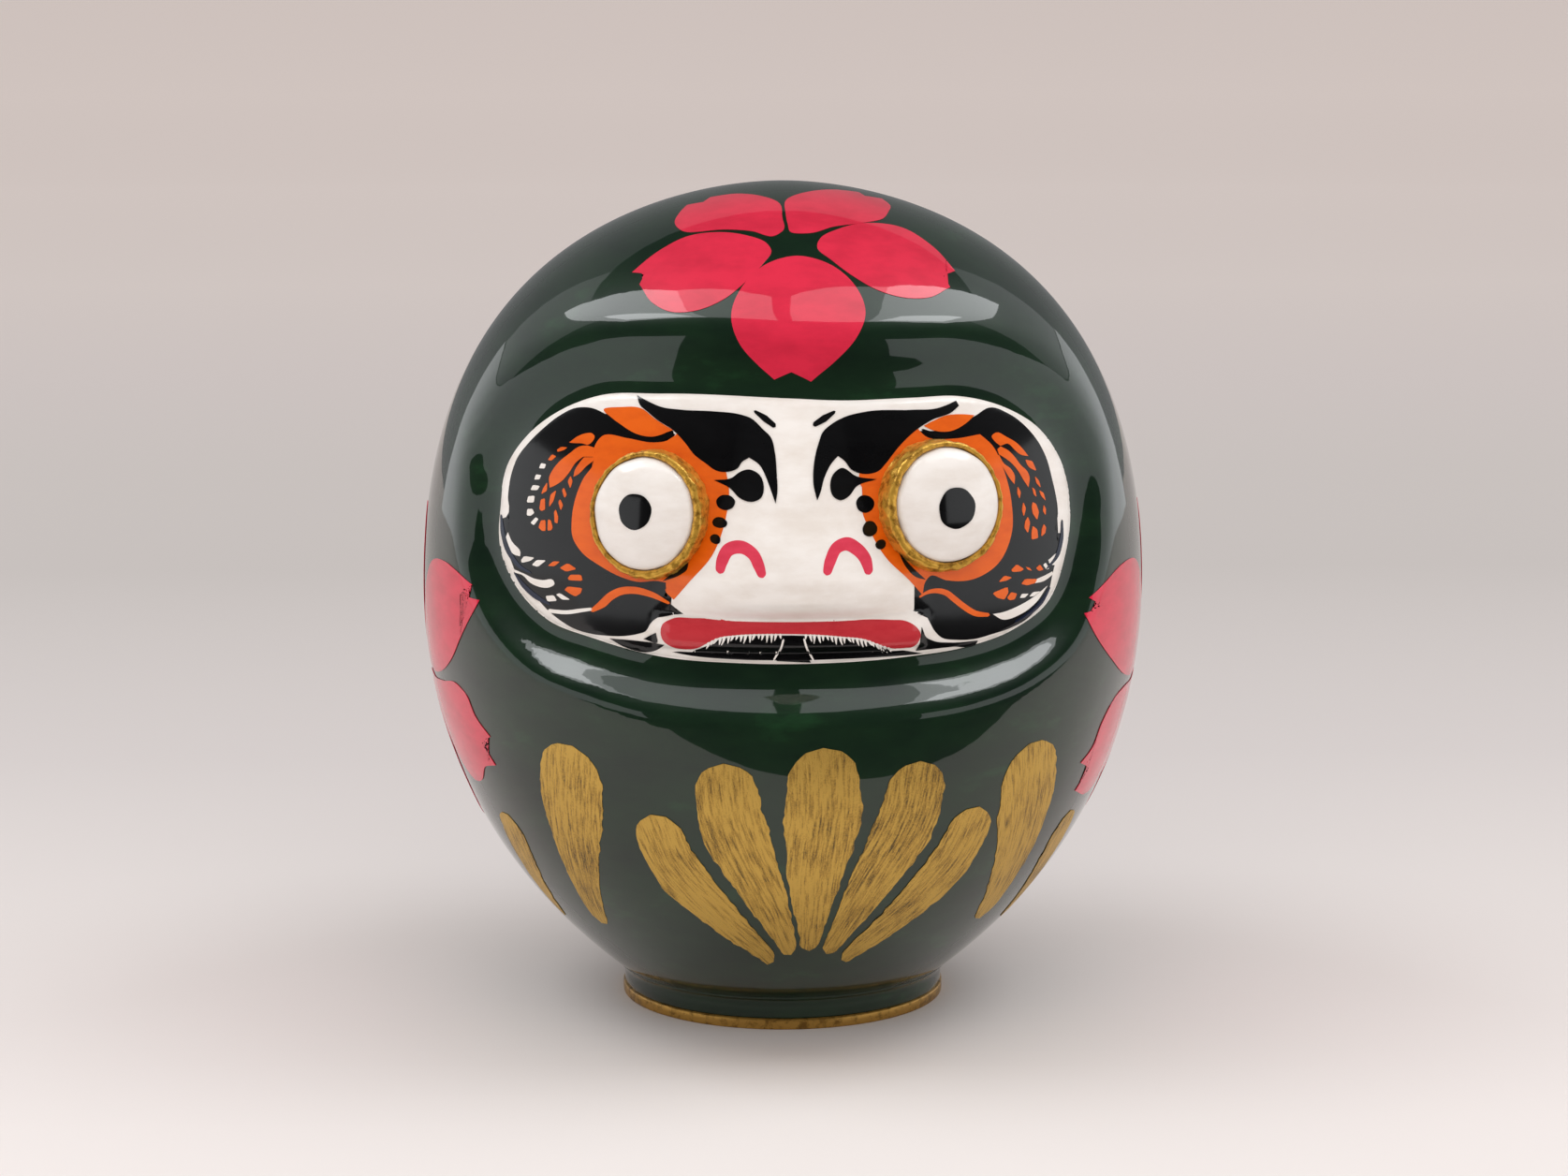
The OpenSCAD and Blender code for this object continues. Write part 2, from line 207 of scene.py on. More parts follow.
ORANGE_CUTS = [
    [(-50, 121.6), (-50.9, 120.2), (-51.3, 119), (-50.1, 119.8)],
    [(-48.1, 120.2), (-49.3, 119.2), (-49.6, 117.6), (-49.6, 116.6), (-48.7, 118)],
    [(-50.5, 118.3), (-51.4, 117.9), (-51.7, 116), (-51.3, 115.6), (-50.5, 116)],
    [(-45.1, 123.4), (-45.7, 122.2), (-45.2, 120.8), (-44.7, 122.3)],
    [(-46.5, 120.9), (-46.9, 120.3), (-46.4, 118.8), (-45.9, 119.5)],
    [(-47.3, 118.5), (-47.7, 117.8), (-47.2, 116.2), (-46.7, 117.3)],
    [(-48.2, 116.3), (-48.6, 115.8), (-48.5, 113.7), (-47.9, 113.5), (-47.7, 114.7)],
    [(-50.4, 113.9), (-51.4, 113.7), (-51.9, 112.2), (-51.2, 111.6), (-50.4, 111.7)],
    [(-49.9, 114.1), (-49.3, 114), (-48.9, 112.6), (-49.2, 112), (-50, 111.8)],
    [(-48, 128.2), (-47, 128.9), (-45.8, 128.9), (-46.5, 128.3), (-47.8, 127.8)],
    [(-49.9, 126), (-49, 127.2), (-48.1, 126.9), (-49.2, 125.9)],
    [(-50, 104.6), (-48.8, 105.7), (-47.4, 105.8), (-48.6, 104.7)],
    [(-47.5, 104.5), (-45.8, 105.7), (-43.9, 104.7), (-46.1, 103.9)],
    [(-45.8, 102.6), (-45.2, 103.4), (-43, 103.6), (-42.7, 102.4), (-45.5, 102.2)],
    [(-46.5, 100.1), (-45.8, 100.9), (-42.8, 100.9), (-43.1, 99.8), (-44.2, 99), (-45.3, 99.4)],
    [(49, 125.8), (50.6, 125.3), (51.5, 123.2), (50, 124), (49.4, 124.8)],
    [(51.1, 122.2), (52, 121.2), (52.4, 119.7), (51.4, 120.8)],
    [(52, 119.3), (53, 118.6), (53.5, 116.9), (52.5, 118)],
    [(53, 116.2), (53.5, 115.3), (53.4, 114), (52.8, 115)],
    [(53, 112.3), (53.5, 111.5), (53.3, 110.4), (52.4, 109.8), (52.5, 111.3)],
    [(50.4, 120.1), (51.1, 119.5), (51.4, 118), (50.8, 118.6)],
    [(50.5, 117.1), (51.3, 116.6), (51.9, 114.9), (51.5, 113.3), (50.5, 114.8), (50.3, 116.1)],
    [(50.5, 112.3), (51.5, 111.4), (51.7, 109.6), (50.2, 109.5), (50.2, 111.1)],
    [(49.4, 114.3), (49.9, 113), (49.4, 110.9), (48.6, 112.2), (48.8, 113.4)],
    [(47.2, 120.7), (47.9, 119.4), (47.6, 118.1), (47.1, 119.3)],
    [(48.4, 117.4), (49, 116), (48.5, 114.4), (48.1, 115.8)],
    [(45.7, 103.9), (46.9, 104.9), (48.5, 103.7), (47.8, 103.3), (46, 103.4)],
    [(48.9, 104.1), (49.7, 103.8), (50.3, 103.1), (49.4, 103.4)],
    [(51.2, 103.5), (52.1, 104.1), (52.9, 102.9), (51.8, 102.8)],
    [(42.9, 101.7), (44.2, 102.9), (45.9, 102.3), (44.7, 101.8)],
    [(47.9, 100.7), (48.8, 101.6), (51.5, 101.2), (51, 100.4), (49.2, 100.2)],
    [(41.6, 99.6), (44.9, 100.5), (45.1, 99.3), (44.2, 97.9), (42.6, 98.5)],
    [(44.8, 98.2), (45.7, 99.3), (47, 98.8), (46.5, 97.7), (45.4, 97.6)],
]
WHITE_CUTS = [
    [(-51.8, 124.1), (-51.3, 125.2), (-50.3, 125.1), (-50.6, 124.2)],
    [(-52.8, 121.7), (-52.4, 122.8), (-51.3, 122.8), (-51.7, 121.9)],
    [(-53.6, 119.5), (-53.1, 120.6), (-51.6, 120.6), (-52.1, 119.7)],
    [(-54.4, 116.9), (-54.1, 118.2), (-52.7, 118.5), (-52.9, 117.1)],
    [(-54.4, 114.3), (-54.3, 115.6), (-53.2, 115.8), (-52.8, 115), (-53.6, 114.3)],
    [(-53.6, 112.9), (-52.5, 114.2), (-51.9, 113.9), (-52.9, 112.5)],
    [(-55.7, 104.9), (-55, 105.9), (-52.8, 105.9), (-53.7, 105.1), (-55.5, 104.4)],
    [(-53.4, 104.3), (-52.3, 105.5), (-50.3, 105.7), (-52.1, 104.1)],
    [(-50.5, 98.3), (-48.8, 98.7), (-48.1, 97.6), (-50.1, 97.2)],
    [(-48.3, 98.9), (-47.5, 99.3), (-45.3, 98.2), (-47, 98)],
    [(52.8, 103.9), (53.4, 104.3), (54.2, 102.9), (53.6, 102.8)],
    [(47.6, 97.8), (48.1, 98.6), (49.6, 98.4), (48.7, 97.7)],
    [(49.7, 97.8), (50.6, 98.6), (52.3, 98.5), (50.7, 97.7)],
]
WHITE_LEAVES = [
    [(-58.5, 110.2, 1), (-57.7, 108.5), (-55.8, 106.5), (-55.9, 105.7, 1), (-57.3, 105.9), (-58.4, 107.1),
     (-59, 108.6)],
    [(-57.8, 102.9, 1), (-56.1, 102.5), (-54.6, 102.1), (-53.1, 101.6), (-51.1, 101.5), (-48.9, 101.8),
     (-48.6, 101.1), (-49.7, 100.2), (-51.8, 100), (-53.8, 100.6), (-55.4, 101.9), (-56.9, 102.1, 1)],
    [(54, 104.7, 1), (55.9, 105.9, 1), (56.6, 105), (55.6, 103.4, 1), (54.4, 103.8)],
    [(51.3, 101.2, 1), (53, 101.6), (54.9, 102.2, 1), (55.1, 101.6, 1), (52.9, 100.5), (51, 100.4, 1)],
    [(41.7, 95.2, 1), (43.8, 95.3), (47.1, 96.1), (50.4, 97.4), (53.8, 99.4, 1), (51.2, 96.3),
     (47.6, 94.3), (43.8, 93.8)],
]
# Open brush lines: points, then the width along them
WHITE_LINES = [
    ([(-50, 95.3), (-46, 95.5), (-43.2, 96.2), (-40.7, 96.8)], (0.8, 0.8, 0.8, 0.6)),
]
ORANGE_LINES = [
    ([(-41, 96.3), (-38.6, 98.1), (-36.9, 99.8), (-34.8, 101), (-31.9, 101.4), (-28.6, 100.8), (-24.8, 99.3)],
     (0.7, 1.6, 1.6, 1.5, 1.4, 1.1, 0.5)),
    ([(26, 100.2), (27.1, 100.8), (29.2, 101.2), (31.7, 100.6), (33.3, 99.3), (35.4, 97.5), (37.9, 95.8),
      (41, 95.1)], (0.4, 0.8, 1.1, 1.2, 1.2, 1.2, 1.1, 0.7)),
]
NAVY_LINES = [
    ([(-60, 113.5), (-59.5, 109.5), (-58.3, 106.2), (-56, 103.6), (-53.5, 102.6)], (0.3, 0.9, 1.1, 0.9, 0.3)),
    ([(-57.2, 102.2), (-55.2, 99.8), (-52.8, 98), (-49.5, 96.6)], (0.3, 1, 1.1, 0.4)),
    ([(57.2, 112.5), (57, 108.5), (55.9, 105.2), (53.5, 102.9)], (0.3, 0.8, 0.9, 0.3)),
    ([(54.4, 99), (52.6, 96.4), (49.8, 94.3), (46.5, 92.9)], (0.3, 0.9, 0.9, 0.3)),
]
DASHES = [
    ([(-7.5, 138), (-5.3, 136.6), (-3.2, 135.1)], (0.5, 1.3, 0.9)),
    ([(4.4, 135.3), (6.7, 136.5), (9, 137.8)], (0.9, 1.4, 0.5)),
    ([(-37.9, 136.1), (-34.6, 133.7), (-31, 132), (-27, 131.8), (-23.6, 133)], (0.5, 0.9, 0.9, 0.8, 0.4)),
    ([(38.3, 135.2), (36, 133.3), (32.9, 132.2), (29.5, 132.5), (26.8, 133.6)], (0.5, 0.9, 0.9, 0.8, 0.4)),
]

# Blossom on the crown, in the plane that touches the body there: u to +X, v up the surface
CROWN_PETALS = [
    [(1, -0.4), (-4.4, -2.2), (-10.2, -8.5), (-13, -16.5), (-11.3, -24), (-7.5, -29.4), (-4.5, -32.5, 1),
     (-1, -31, 1), (3, -33, 1), (8, -28.2), (12.5, -22), (14.5, -15.5), (12.6, -8.5), (6.8, -2.2)],
    [(-4.2, 1.4), (-5.2, 4.6), (-9, 7.9), (-15, 10.8), (-21, 11.5), (-27, 8.6), (-33, 3.5, 1),
     (-30.3, 1.5, 1), (-31.5, -1.5, 1), (-28.8, -8.5), (-25, -12.4), (-20, -13.6), (-14.5, -12),
     (-10, -8), (-6, -2.6)],
    [(5.4, 2.4), (6.2, 6.4), (10, 10.6), (16.5, 15.3), (24, 16.6), (30, 11.8), (34.5, 4.5, 1),
     (31.6, 1, 1), (33, -2, 1), (28, -7.6), (22, -9.6), (17, -8.8), (12.6, -6), (8, -1.2)],
    [(-3.6, 7), (-8, 9.6), (-13, 11.4), (-22, 14), (-23.8, 19), (-22.6, 25), (-21, 29, 1),
     (-17.6, 28.6, 1), (-16, 31.5, 1), (-11, 31.4), (-5.5, 28), (-2, 23.5), (-1.4, 15), (-1.6, 9)],
    [(0.2, 8.4), (-0.4, 12), (-0.6, 17), (0, 25), (5, 31), (11, 35), (16, 36.2, 1), (17.2, 33.2, 1),
     (21, 34, 1), (22.4, 29), (21.6, 24), (20, 19), (15.6, 15), (9.2, 11.6), (4, 8.2)],
]

# Blossoms on the flanks: distance round the body and height. The front petals show beside the face.
LEFT_PETALS = [
    [(-110, 79.5), (-107.5, 88), (-103.5, 95.5), (-97.8, 100.4), (-88.4, 101.9), (-82.5, 101),
     (-75.2, 98.8, 1), (-80.2, 96.4, 1), (-72.3, 95.9, 1), (-75.5, 92.3), (-80.3, 87), (-85.6, 81.6),
     (-94.8, 76.9), (-104, 75.9), (-108.5, 77)],
    [(-110, 74.3), (-102, 74.2), (-94, 75), (-84.5, 75.9), (-80.2, 73.9), (-78.5, 70.6), (-73.4, 66.4, 1),
     (-78, 64.4, 1), (-74.3, 59.9, 1), (-80, 58.4), (-84.1, 54.9), (-90, 53.6), (-98, 57), (-104.5, 64),
     (-108.5, 70.5)],
]
RIGHT_PETALS = [
    [(110, 79), (107.5, 88), (103, 95.5), (96, 100.4), (84.1, 101), (76.6, 98.9), (69.6, 96.1, 1),
     (75, 94, 1), (67.8, 93.1, 1), (72, 88.2), (80.4, 81.6), (93, 75.6), (103, 74.9), (108, 76.5)],
    [(110, 73.6), (102, 73), (93, 73), (86, 71.5), (81, 66.6), (79.8, 62.5), (75.5, 59.4, 1),
     (81.5, 57.2, 1), (78, 52.6, 1), (86, 50.3), (93, 51), (100, 55), (105, 62), (108.6, 69.5)],
]
REAR_PETALS = [
    [(112.5, 72.6), (107, 66), (103.8, 58), (103.4, 49), (106.5, 43.5), (110.5, 41.5, 1), (113, 44.5, 1),
     (117.5, 42, 1), (121, 45.5), (124, 52), (123, 60), (119.5, 67.5), (115.5, 72.2)],
    [(116.4, 75.6), (121, 70.5), (128, 66), (137, 64.5), (144, 67.5), (149, 72, 1), (146, 76, 1),
     (149.5, 80, 1), (145, 86), (138, 88.5), (129, 87), (121, 82.6), (116.8, 78.6)],
    [(113.8, 80.6), (120, 85), (125, 91.5), (127, 100), (125, 107), (121.5, 111, 1), (117.5, 108.5, 1),
     (114, 111, 1), (110.5, 106), (109.5, 100), (109.9, 94), (111.2, 86)],
]


def smoothstep(x):
    """0 to 1 with level ends."""
    x = np.clip(x, 0, 1)
    return x * x * (3 - 2 * x)


def curve(points, step=0.7, closed=True):
    """A smooth line through the points, with the sharp corners kept, as an array of x, z."""
    p = np.array([q[:2] for q in points], float)
    corner = [len(q) > 2 for q in points]
    n, out = len(p), []
    for i in range(n if closed else n - 1):
        j = (i + 1) % n
        a, b = p[i], p[j]
        before = 2 * a - b if corner[i] or (not closed and i == 0) else p[i - 1]
        after = 2 * b - a if corner[j] or (not closed and j == n - 1) else p[(j + 1) % n]
        chord = np.linalg.norm(b - a)
        d0, d1 = max(np.linalg.norm(a - before), 1e-6), max(np.linalg.norm(after - b), 1e-6)
        ta = ((a - before) / d0 * chord + (b - a) / chord * d0) / (d0 + chord) * chord
        tb = ((b - a) / chord * d1 + (after - b) / d1 * chord) / (d1 + chord) * chord
        t = np.linspace(0, 1, max(2, int(math.ceil(chord / step)) + 1))[:-1, None]
        out.append((2 * t**3 - 3 * t**2 + 1) * a + (t**3 - 2 * t**2 + t) * ta
                   + (3 * t**2 - 2 * t**3) * b + (t**3 - t**2) * tb)
    if not closed:
        out.append(p[-1:])
    return np.vstack(out)


def brush_line(points, widths, step=0.3):
    """The outline of a brush line along the points, with the given widths."""
    line = curve(points, step, closed=False)
    run = np.r_[0, np.cumsum(np.linalg.norm(np.diff(line, axis=0), axis=1))]
    half = np.interp(run / run[-1], np.linspace(0, 1, len(widths)), widths)
    for gap, wide in ((run, widths[0]), (run[-1] - run, widths[-1])):
        half = half * np.sqrt(1 - 0.96 * np.clip(1 - gap / (0.5 * wide + 1e-6), 0, 1)**2)
    half = half[:, None] / 2
    along = np.gradient(line, axis=0)
    side = np.stack([-along[:, 1], along[:, 0]], 1) / np.linalg.norm(along, axis=1)[:, None]
    return np.vstack([line + side * half, (line - side * half)[::-1]])


def cut(corners):
    """A short brush cut with its corners taken off."""
    near, far = 0.86, 0.14
    return np.array([q for a, b in zip(corners, corners[1:] + corners[:1])
                     for q in ((near * a[0] + far * b[0], near * a[1] + far * b[1]),
                               (far * a[0] + near * b[0], far * a[1] + near * b[1]))])


def blob(x, z, width, height, seed=0.0, points=40):
    """A hand-dotted spot with a slightly uneven edge."""
    turn = np.arange(points) * TAU / points
    wobble = (1 + 0.03 * np.sin(2 * turn + seed) + 0.02 * np.sin(3 * turn + 2.3 * seed)
              + 0.01 * np.sin(7 * turn))
    return np.stack([x + width / 2 * wobble * np.cos(turn), z + height / 2 * wobble * np.sin(turn)], 1)


def edge_distance(x, z, outline):
    """Distance from points to a closed outline, negative inside, with the nearest point's height on it."""
    p = np.stack([x, z], -1).reshape(-1, 1, 2)
    a, b = outline, np.roll(outline, -1, 0)
    ab = b - a
    t = np.clip(((p - a) * ab).sum(-1) / (ab**2).sum(-1), 0, 1)
    near = a + t[..., None] * ab
    gap = np.linalg.norm(p - near, axis=-1)
    k = gap.argmin(1)
    rows = np.arange(len(k))
    crossing = (a[:, 1] > p[..., 1]) != (b[:, 1] > p[..., 1])
    at_x = a[:, 0] + (p[..., 1] - a[:, 1]) / np.where(ab[:, 1] == 0, 1e-9, ab[:, 1]) * ab[:, 0]
    inside = (crossing & (p[..., 0] < at_x)).sum(1) % 2 == 1
    return (np.where(inside, -1, 1) * gap[rows, k]).reshape(x.shape), near[rows, k, 1].reshape(x.shape)


class Skin:
    """The doll's painted surface, in millimetres."""

    def __init__(self, sizes):
        self.sizes = sizes
        self.height, self.waist = sizes.height / MM, sizes.waist_height / MM
        self.wide = sizes.width / MM / 2
        t = np.linspace(0, 1, PROFILE_POINTS)[:, None]

        def cubic(a, b, c, d):
            a, b, c, d = map(np.array, (a, b, c, d))
            return (1 - t)**3 * a + 3 * (1 - t)**2 * t * b + 3 * (1 - t) * t * t * c + t**3 * d

        waist = (self.wide, self.waist)
        low = cubic(FOOT_START, FOOT_PULL, (self.wide, self.waist - WAIST_PULL_DOWN), waist)
        high = cubic(waist, (self.wide, self.waist + WAIST_PULL_UP), (CROWN_PULL, self.height),
                     (0, self.height))
        self.profile = np.vstack([low, high[1:]])
        self.panel = curve(PANEL, 1.2)

    def radius(self, z):
        """Radius of the body at a height."""
        return np.interp(z, self.profile[:, 1], self.profile[:, 0])

    def underside(self, r):
        """Height of the body's underside at a radius."""
        low = self.profile[:PROFILE_POINTS - 1]
        return np.interp(r, low[:, 0], low[:, 1])

    def outline(self, step, inner_r):
        """Evenly spaced radius and height from the foot's bore up to the crown."""
        start = np.argmax(self.profile[:, 0] >= inner_r)
        p = np.vstack([[inner_r, self.underside(inner_r)], self.profile[start:]])
        run = np.r_[0, np.cumsum(np.linalg.norm(np.diff(p, axis=0), axis=1))]
        s = np.linspace(0, run[-1], int(run[-1] / step))
        return np.stack([np.interp(s, run, p[:, 0]), np.interp(s, run, p[:, 1])], 1)

    def recess(self, x, z):
        """How far the green skin is set back round the face."""
        x, z = np.broadcast_arrays(np.asarray(x, float), np.asarray(z, float))
        out = np.zeros(x.shape)
        reach, lowest, highest = FACE_FRAME
        near = (np.abs(x) < reach) & (z > lowest) & (z < highest)
        if not near.any():
            return out
        d, foot = edge_distance(x[near], z[near], self.panel)
        lift = np.clip((z[near] - foot) / np.maximum(d, 1e-6), -1, 1)
        s = self.sizes
        up, down = np.clip(lift, 0, 1)**1.5, np.clip(-lift, 0, 1)**1.5
        width = (s.side_border + (s.brow_border - s.side_border) * up
                 + (s.collar_border - s.side_border) * down) / MM
        t = np.clip(d / width, 0, 1)
        out[near] = (s.face_depth / MM + BED_GAP) * (1 - smoothstep(t**(1 + 0.25 * down)))
        return out

    def relief(self, x, z):
        """Muzzle, nose and lips standing out of the face."""
        fine = np.arange(80, 150, 0.1)
        ease = np.hanning(27) / np.hanning(27).sum()

        def eased(values):
            """The values between the levels, with their corners rounded."""
            rough = np.pad(np.interp(fine, RELIEF_LEVELS, values), 13, "edge")
            return np.interp(z, fine, np.convolve(rough, ease, "valid"))

        muzzle = eased(RELIEF_RISE) * np.clip(1 - (x / eased(RELIEF_HALF))**2, 0, None)**1.5
        bead = np.sqrt(np.clip(1 - ((z - LIPS_Z) / LIPS_HALF_HEIGHT)**2, 0, None))
        return np.maximum(muzzle, LIPS_RISE * bead * smoothstep((LIPS_HALF_WIDTH - np.abs(x)) / 4))

    def on_face(self, x, z):
        """The face panel's front, seen square on. Its rim is rounded down into the green."""
        x, z = np.asarray(x, float), np.asarray(z, float)
        d, _ = edge_distance(x, z, self.panel)
        rim = PANEL_RIM_DROP * (1 - np.sqrt(np.clip(1 - np.clip(1 + d / PANEL_RIM, 0, 1)**2, 0, 1)))
        y = self.sizes.face_depth / MM - np.sqrt(np.clip(self.radius(z)**2 - x * x, 0, None))
        return np.stack([x, y - self.relief(x, z) + rim, z], -1)

    def on_body(self, a, z):
        """a is the distance round the belly from the middle of the front, to +X."""
        turn, r = np.asarray(a, float) / BELLY_R, self.radius(z)
        x, y = r * np.sin(turn), -r * np.cos(turn)
        y = np.where(y < 0, y + self.recess(x, z), y)
        return np.stack([x, y, np.broadcast_to(z, x.shape)], -1)

    def on_crown(self, u, v):
        """Straight down on the body from the plane that touches it in front of the crown."""
        turn, z0 = math.radians(CROWN_TURN), CROWN_Z
        r0, slope = self.radius(z0), (self.radius(z0 + 0.5) - self.radius(z0 - 0.5))
        out = np.array([math.sin(turn), -math.cos(turn), 0])
        across, up = np.array([math.cos(turn), math.sin(turn), 0]), out * slope + [0, 0, 1]
        normal = out - [0, 0, slope]
        up, normal = up / np.linalg.norm(up), normal / np.linalg.norm(normal)
        base = out * r0 + [0, 0, z0] + np.asarray(u)[..., None] * across + np.asarray(v)[..., None] * up
        low, high = np.full(base.shape[:-1], -20.0), np.full(base.shape[:-1], 60.0)
        for _ in range(30):
            mid = (low + high) / 2
            q = base - mid[..., None] * normal
            within = np.hypot(q[..., 0], q[..., 1]) < self.radius(q[..., 2]) * (q[..., 2] < self.height)
            high, low = np.where(within, mid, high), np.where(within, low, mid)
        q = base - high[..., None] * normal
        q[..., 1] += np.where(q[..., 1] < 0, self.recess(q[..., 0], q[..., 2]), 0)
        return q


def seat(place, u, v, reach=0.5):
    """Points on a surface and the directions straight out of it."""
    u, v = np.asarray(u, float), np.asarray(v, float)
    n = np.cross(place(u + reach, v) - place(u - reach, v), place(u, v + reach) - place(u, v - reach))
    n /= np.maximum(np.linalg.norm(n, axis=-1, keepdims=True), 1e-12)
    p = place(u, v)
    inward = (n * (p - [0, 0, 90])).sum(-1) < 0
    n[inward] *= -1
    return p, n


# ---------------------------------------------------------------- mesh helpers

def coords(bm):
    """The points of a mesh as an array."""
    return np.array([v.co for v in bm.verts], float).reshape(-1, 3)


def set_coords(bm, co):
    """Moves the points of a mesh to those of an array."""
    for v, c in zip(bm.verts, co):
        v.co = c


def keep_normals(bm, normals=None):
    """Notes each point's outward direction, so that later cuts don't change how it is shaded."""
    layer = bm.verts.layers.float_vector.get("lay") or bm.verts.layers.float_vector.new("lay")
    if normals is None:
        bm.normal_update()
        normals = [v.normal.copy() for v in bm.verts]
    for v, n in zip(bm.verts, normals):
        v[layer] = n


def dice(bm, step):
    """Cuts a flat sheet in the XZ plane into cells no larger than step."""
    co = coords(bm)
    for axis in (0, 2):
        low, high = co[:, axis].min(), co[:, axis].max()
        for k in range(int(math.ceil(low / step)), int(high / step) + 1):
            at, normal = [0, 0, 0], [0, 0, 0]
            at[axis], normal[axis] = k * step + 0.013, 1
            bmesh.ops.bisect_plane(bm, geom=bm.verts[:] + bm.edges[:] + bm.faces[:],
                                   dist=1e-4, plane_co=at, plane_no=normal)


def sheet_of(outlines, step):
    """Flat sheets with the given outlines in the XZ plane, facing -Y and diced."""
    bm = bmesh.new()
    for outline in outlines:
        area = np.sum(outline[:, 0] * np.roll(outline[:, 1], -1) - outline[:, 1] * np.roll(outline[:, 0], -1))
        points = outline if area > 0 else outline[::-1]
        bm.faces.new([bm.verts.new((x, 0, z)) for x, z in points])
    bmesh.ops.triangulate(bm, faces=bm.faces[:], quad_method="BEAUTY", ngon_method="EAR_CLIP")
    dice(bm, step)
    bmesh.ops.remove_doubles(bm, verts=bm.verts[:], dist=0.03)
    return bm


def thicken(bm, move):
    """Gives a sheet a back, with its points at move(point, normal)."""
    layer = bm.verts.layers.float_vector["lay"]
    back = bm.verts[:]
    bmesh.ops.extrude_face_region(bm, geom=bm.faces[:])
    for v in back:
        v.co = move(v.co, v[layer])


def spun(points, steps, closed=False):
    """A profile of radius and height points turned round the Z axis."""
    bm = bmesh.new()
    ring = [bm.verts.new((r, 0, z)) for r, z in points]
    edges = [bm.edges.new(pair) for pair in zip(ring, ring[1:])]
    if closed:
        edges.append(bm.edges.new((ring[-1], ring[0])))
    bmesh.ops.spin(bm, geom=ring + edges, cent=(0, 0, 0), axis=(0, 0, 1), angle=TAU, steps=steps,
                   use_merge=True, use_duplicate=False)
    bmesh.ops.remove_doubles(bm, verts=bm.verts[:], dist=1e-4)
    bmesh.ops.recalc_face_normals(bm, faces=bm.faces[:])
    return bm


def roughen(bm, size, height, where):
    """Moves the points where(point) picks along their normals by a fixed noise of that grain and height."""
    bm.normal_update()
    for v in bm.verts:
        if where(v.co):
            v.co += v.normal * noise.noise(v.co / size) * height


def shade_as_noted(mesh):
    """Uses the directions that keep_normals noted, save where a face turns well away from them."""
    lay = mesh.attributes.get("lay")
    if not lay:
        return
    own = np.zeros(len(mesh.vertices) * 3)
    lay.data.foreach_get("vector", own)
    loops = np.zeros(len(mesh.loops), int)
    mesh.loops.foreach_get("vertex_index", loops)
    counts = np.zeros(len(mesh.polygons), int)
    mesh.polygons.foreach_get("loop_total", counts)
    flat = np.zeros(len(mesh.polygons) * 3)
    mesh.polygons.foreach_get("normal", flat)
    own = own.reshape(-1, 3)[loops]
    flat = np.repeat(flat.reshape(-1, 3), counts, 0)
    own[(own * flat).sum(1) < 0.35] = 0
    mesh.normals_split_custom_set(own.tolist())
    mesh.attributes.remove(mesh.attributes["lay"])


def piece(name, bm, material):
    """Makes the finished mesh an object that rides on the doll."""
    mesh = bpy.data.meshes.new(name)
    for f in bm.faces:
        f.smooth = True
    bm.normal_update()
    for e in bm.edges:
        if len(e.link_faces) == 2 and e.calc_face_angle(0) > SHARP_EDGE:
            e.smooth = False
    bm.to_mesh(mesh)
    bm.free()
    shade_as_noted(mesh)
    mesh.transform(Matrix.Scale(MM, 4))
    mesh.materials.append(material)
    obj = bpy.data.objects.new(name, mesh)
    bpy.context.scene.collection.objects.link(obj)
    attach(obj, "root")
    return obj


def paint(name, outlines, place, lift, material, step=1.1):
    """A thin film of paint with these outlines, laid on a surface."""
    bm = sheet_of(outlines, step)
    co = coords(bm)
    p, n = seat(place, co[:, 0], co[:, 2])
    set_coords(bm, p + n * lift)
    bmesh.ops.recalc_face_normals(bm, faces=bm.faces[:])
    bm.normal_update()
    if sum(f.normal.dot(Vector(n[f.verts[0].index])) * f.calc_area() for f in bm.faces) < 0:
        bmesh.ops.reverse_faces(bm, faces=bm.faces[:])
    keep_normals(bm, n)
    thicken(bm, lambda at, out: at - out * lift * 0.7)
    return piece(name, bm, material)


# ---------------------------------------------------------------- materials

def plug(tree, node, sockets):
    """Sets a node's inputs, by name or number, to a value or to an output to link from."""
    for key, value in sockets.items():
        if isinstance(value, bpy.types.NodeSocket):
            tree.links.new(value, node.inputs[key])
        else:
            node.inputs[key].default_value = value


def add(tree, kind, sockets=None, **settings):
    """Adds a node with its settings and inputs."""
    node = tree.nodes.new(kind)
    for key, value in settings.items():
        setattr(node, key, value)
    plug(tree, node, sockets or {})
    return node


def grain(tree, where, scale, detail, roughness=0.5):
    """Noise with that many grains to the unit of where."""
    return add(tree, "ShaderNodeTexNoise", {"Vector": where, "Scale": scale, "Detail": detail,
                                            "Roughness": roughness}).outputs["Fac"]


def stretched(tree, where, stretch):
    """The same place with its axes scaled."""
    return add(tree, "ShaderNodeMapping", {"Vector": where, "Scale": stretch}).outputs["Vector"]


def ramp(tree, source, stops):
    """A colour ramp over source with (place, colour) stops."""
    node = add(tree, "ShaderNodeValToRGB", {"Fac": source})
    steps = node.color_ramp.elements
    while len(steps) < len(stops):
        steps.new(0.5)
    for step, (place, colour) in zip(steps, stops):
        step.position, step.color = place, (*colour, 1)
    return node.outputs["Color"]


def new_material(name):
    """An empty material: itself, its node tree and its shader."""
    material = bpy.data.materials.new(name)
    material.use_nodes = True
    tree = material.node_tree
    tree.nodes.clear()
    shader = add(tree, "ShaderNodeBsdfPrincipled")
    add(tree, "ShaderNodeOutputMaterial", {"Surface": shader.outputs["BSDF"]})
    return material, tree, shader


def place_of(tree):
    """Object coordinates, in metres."""
    return add(tree, "ShaderNodeTexCoord").outputs["Object"]


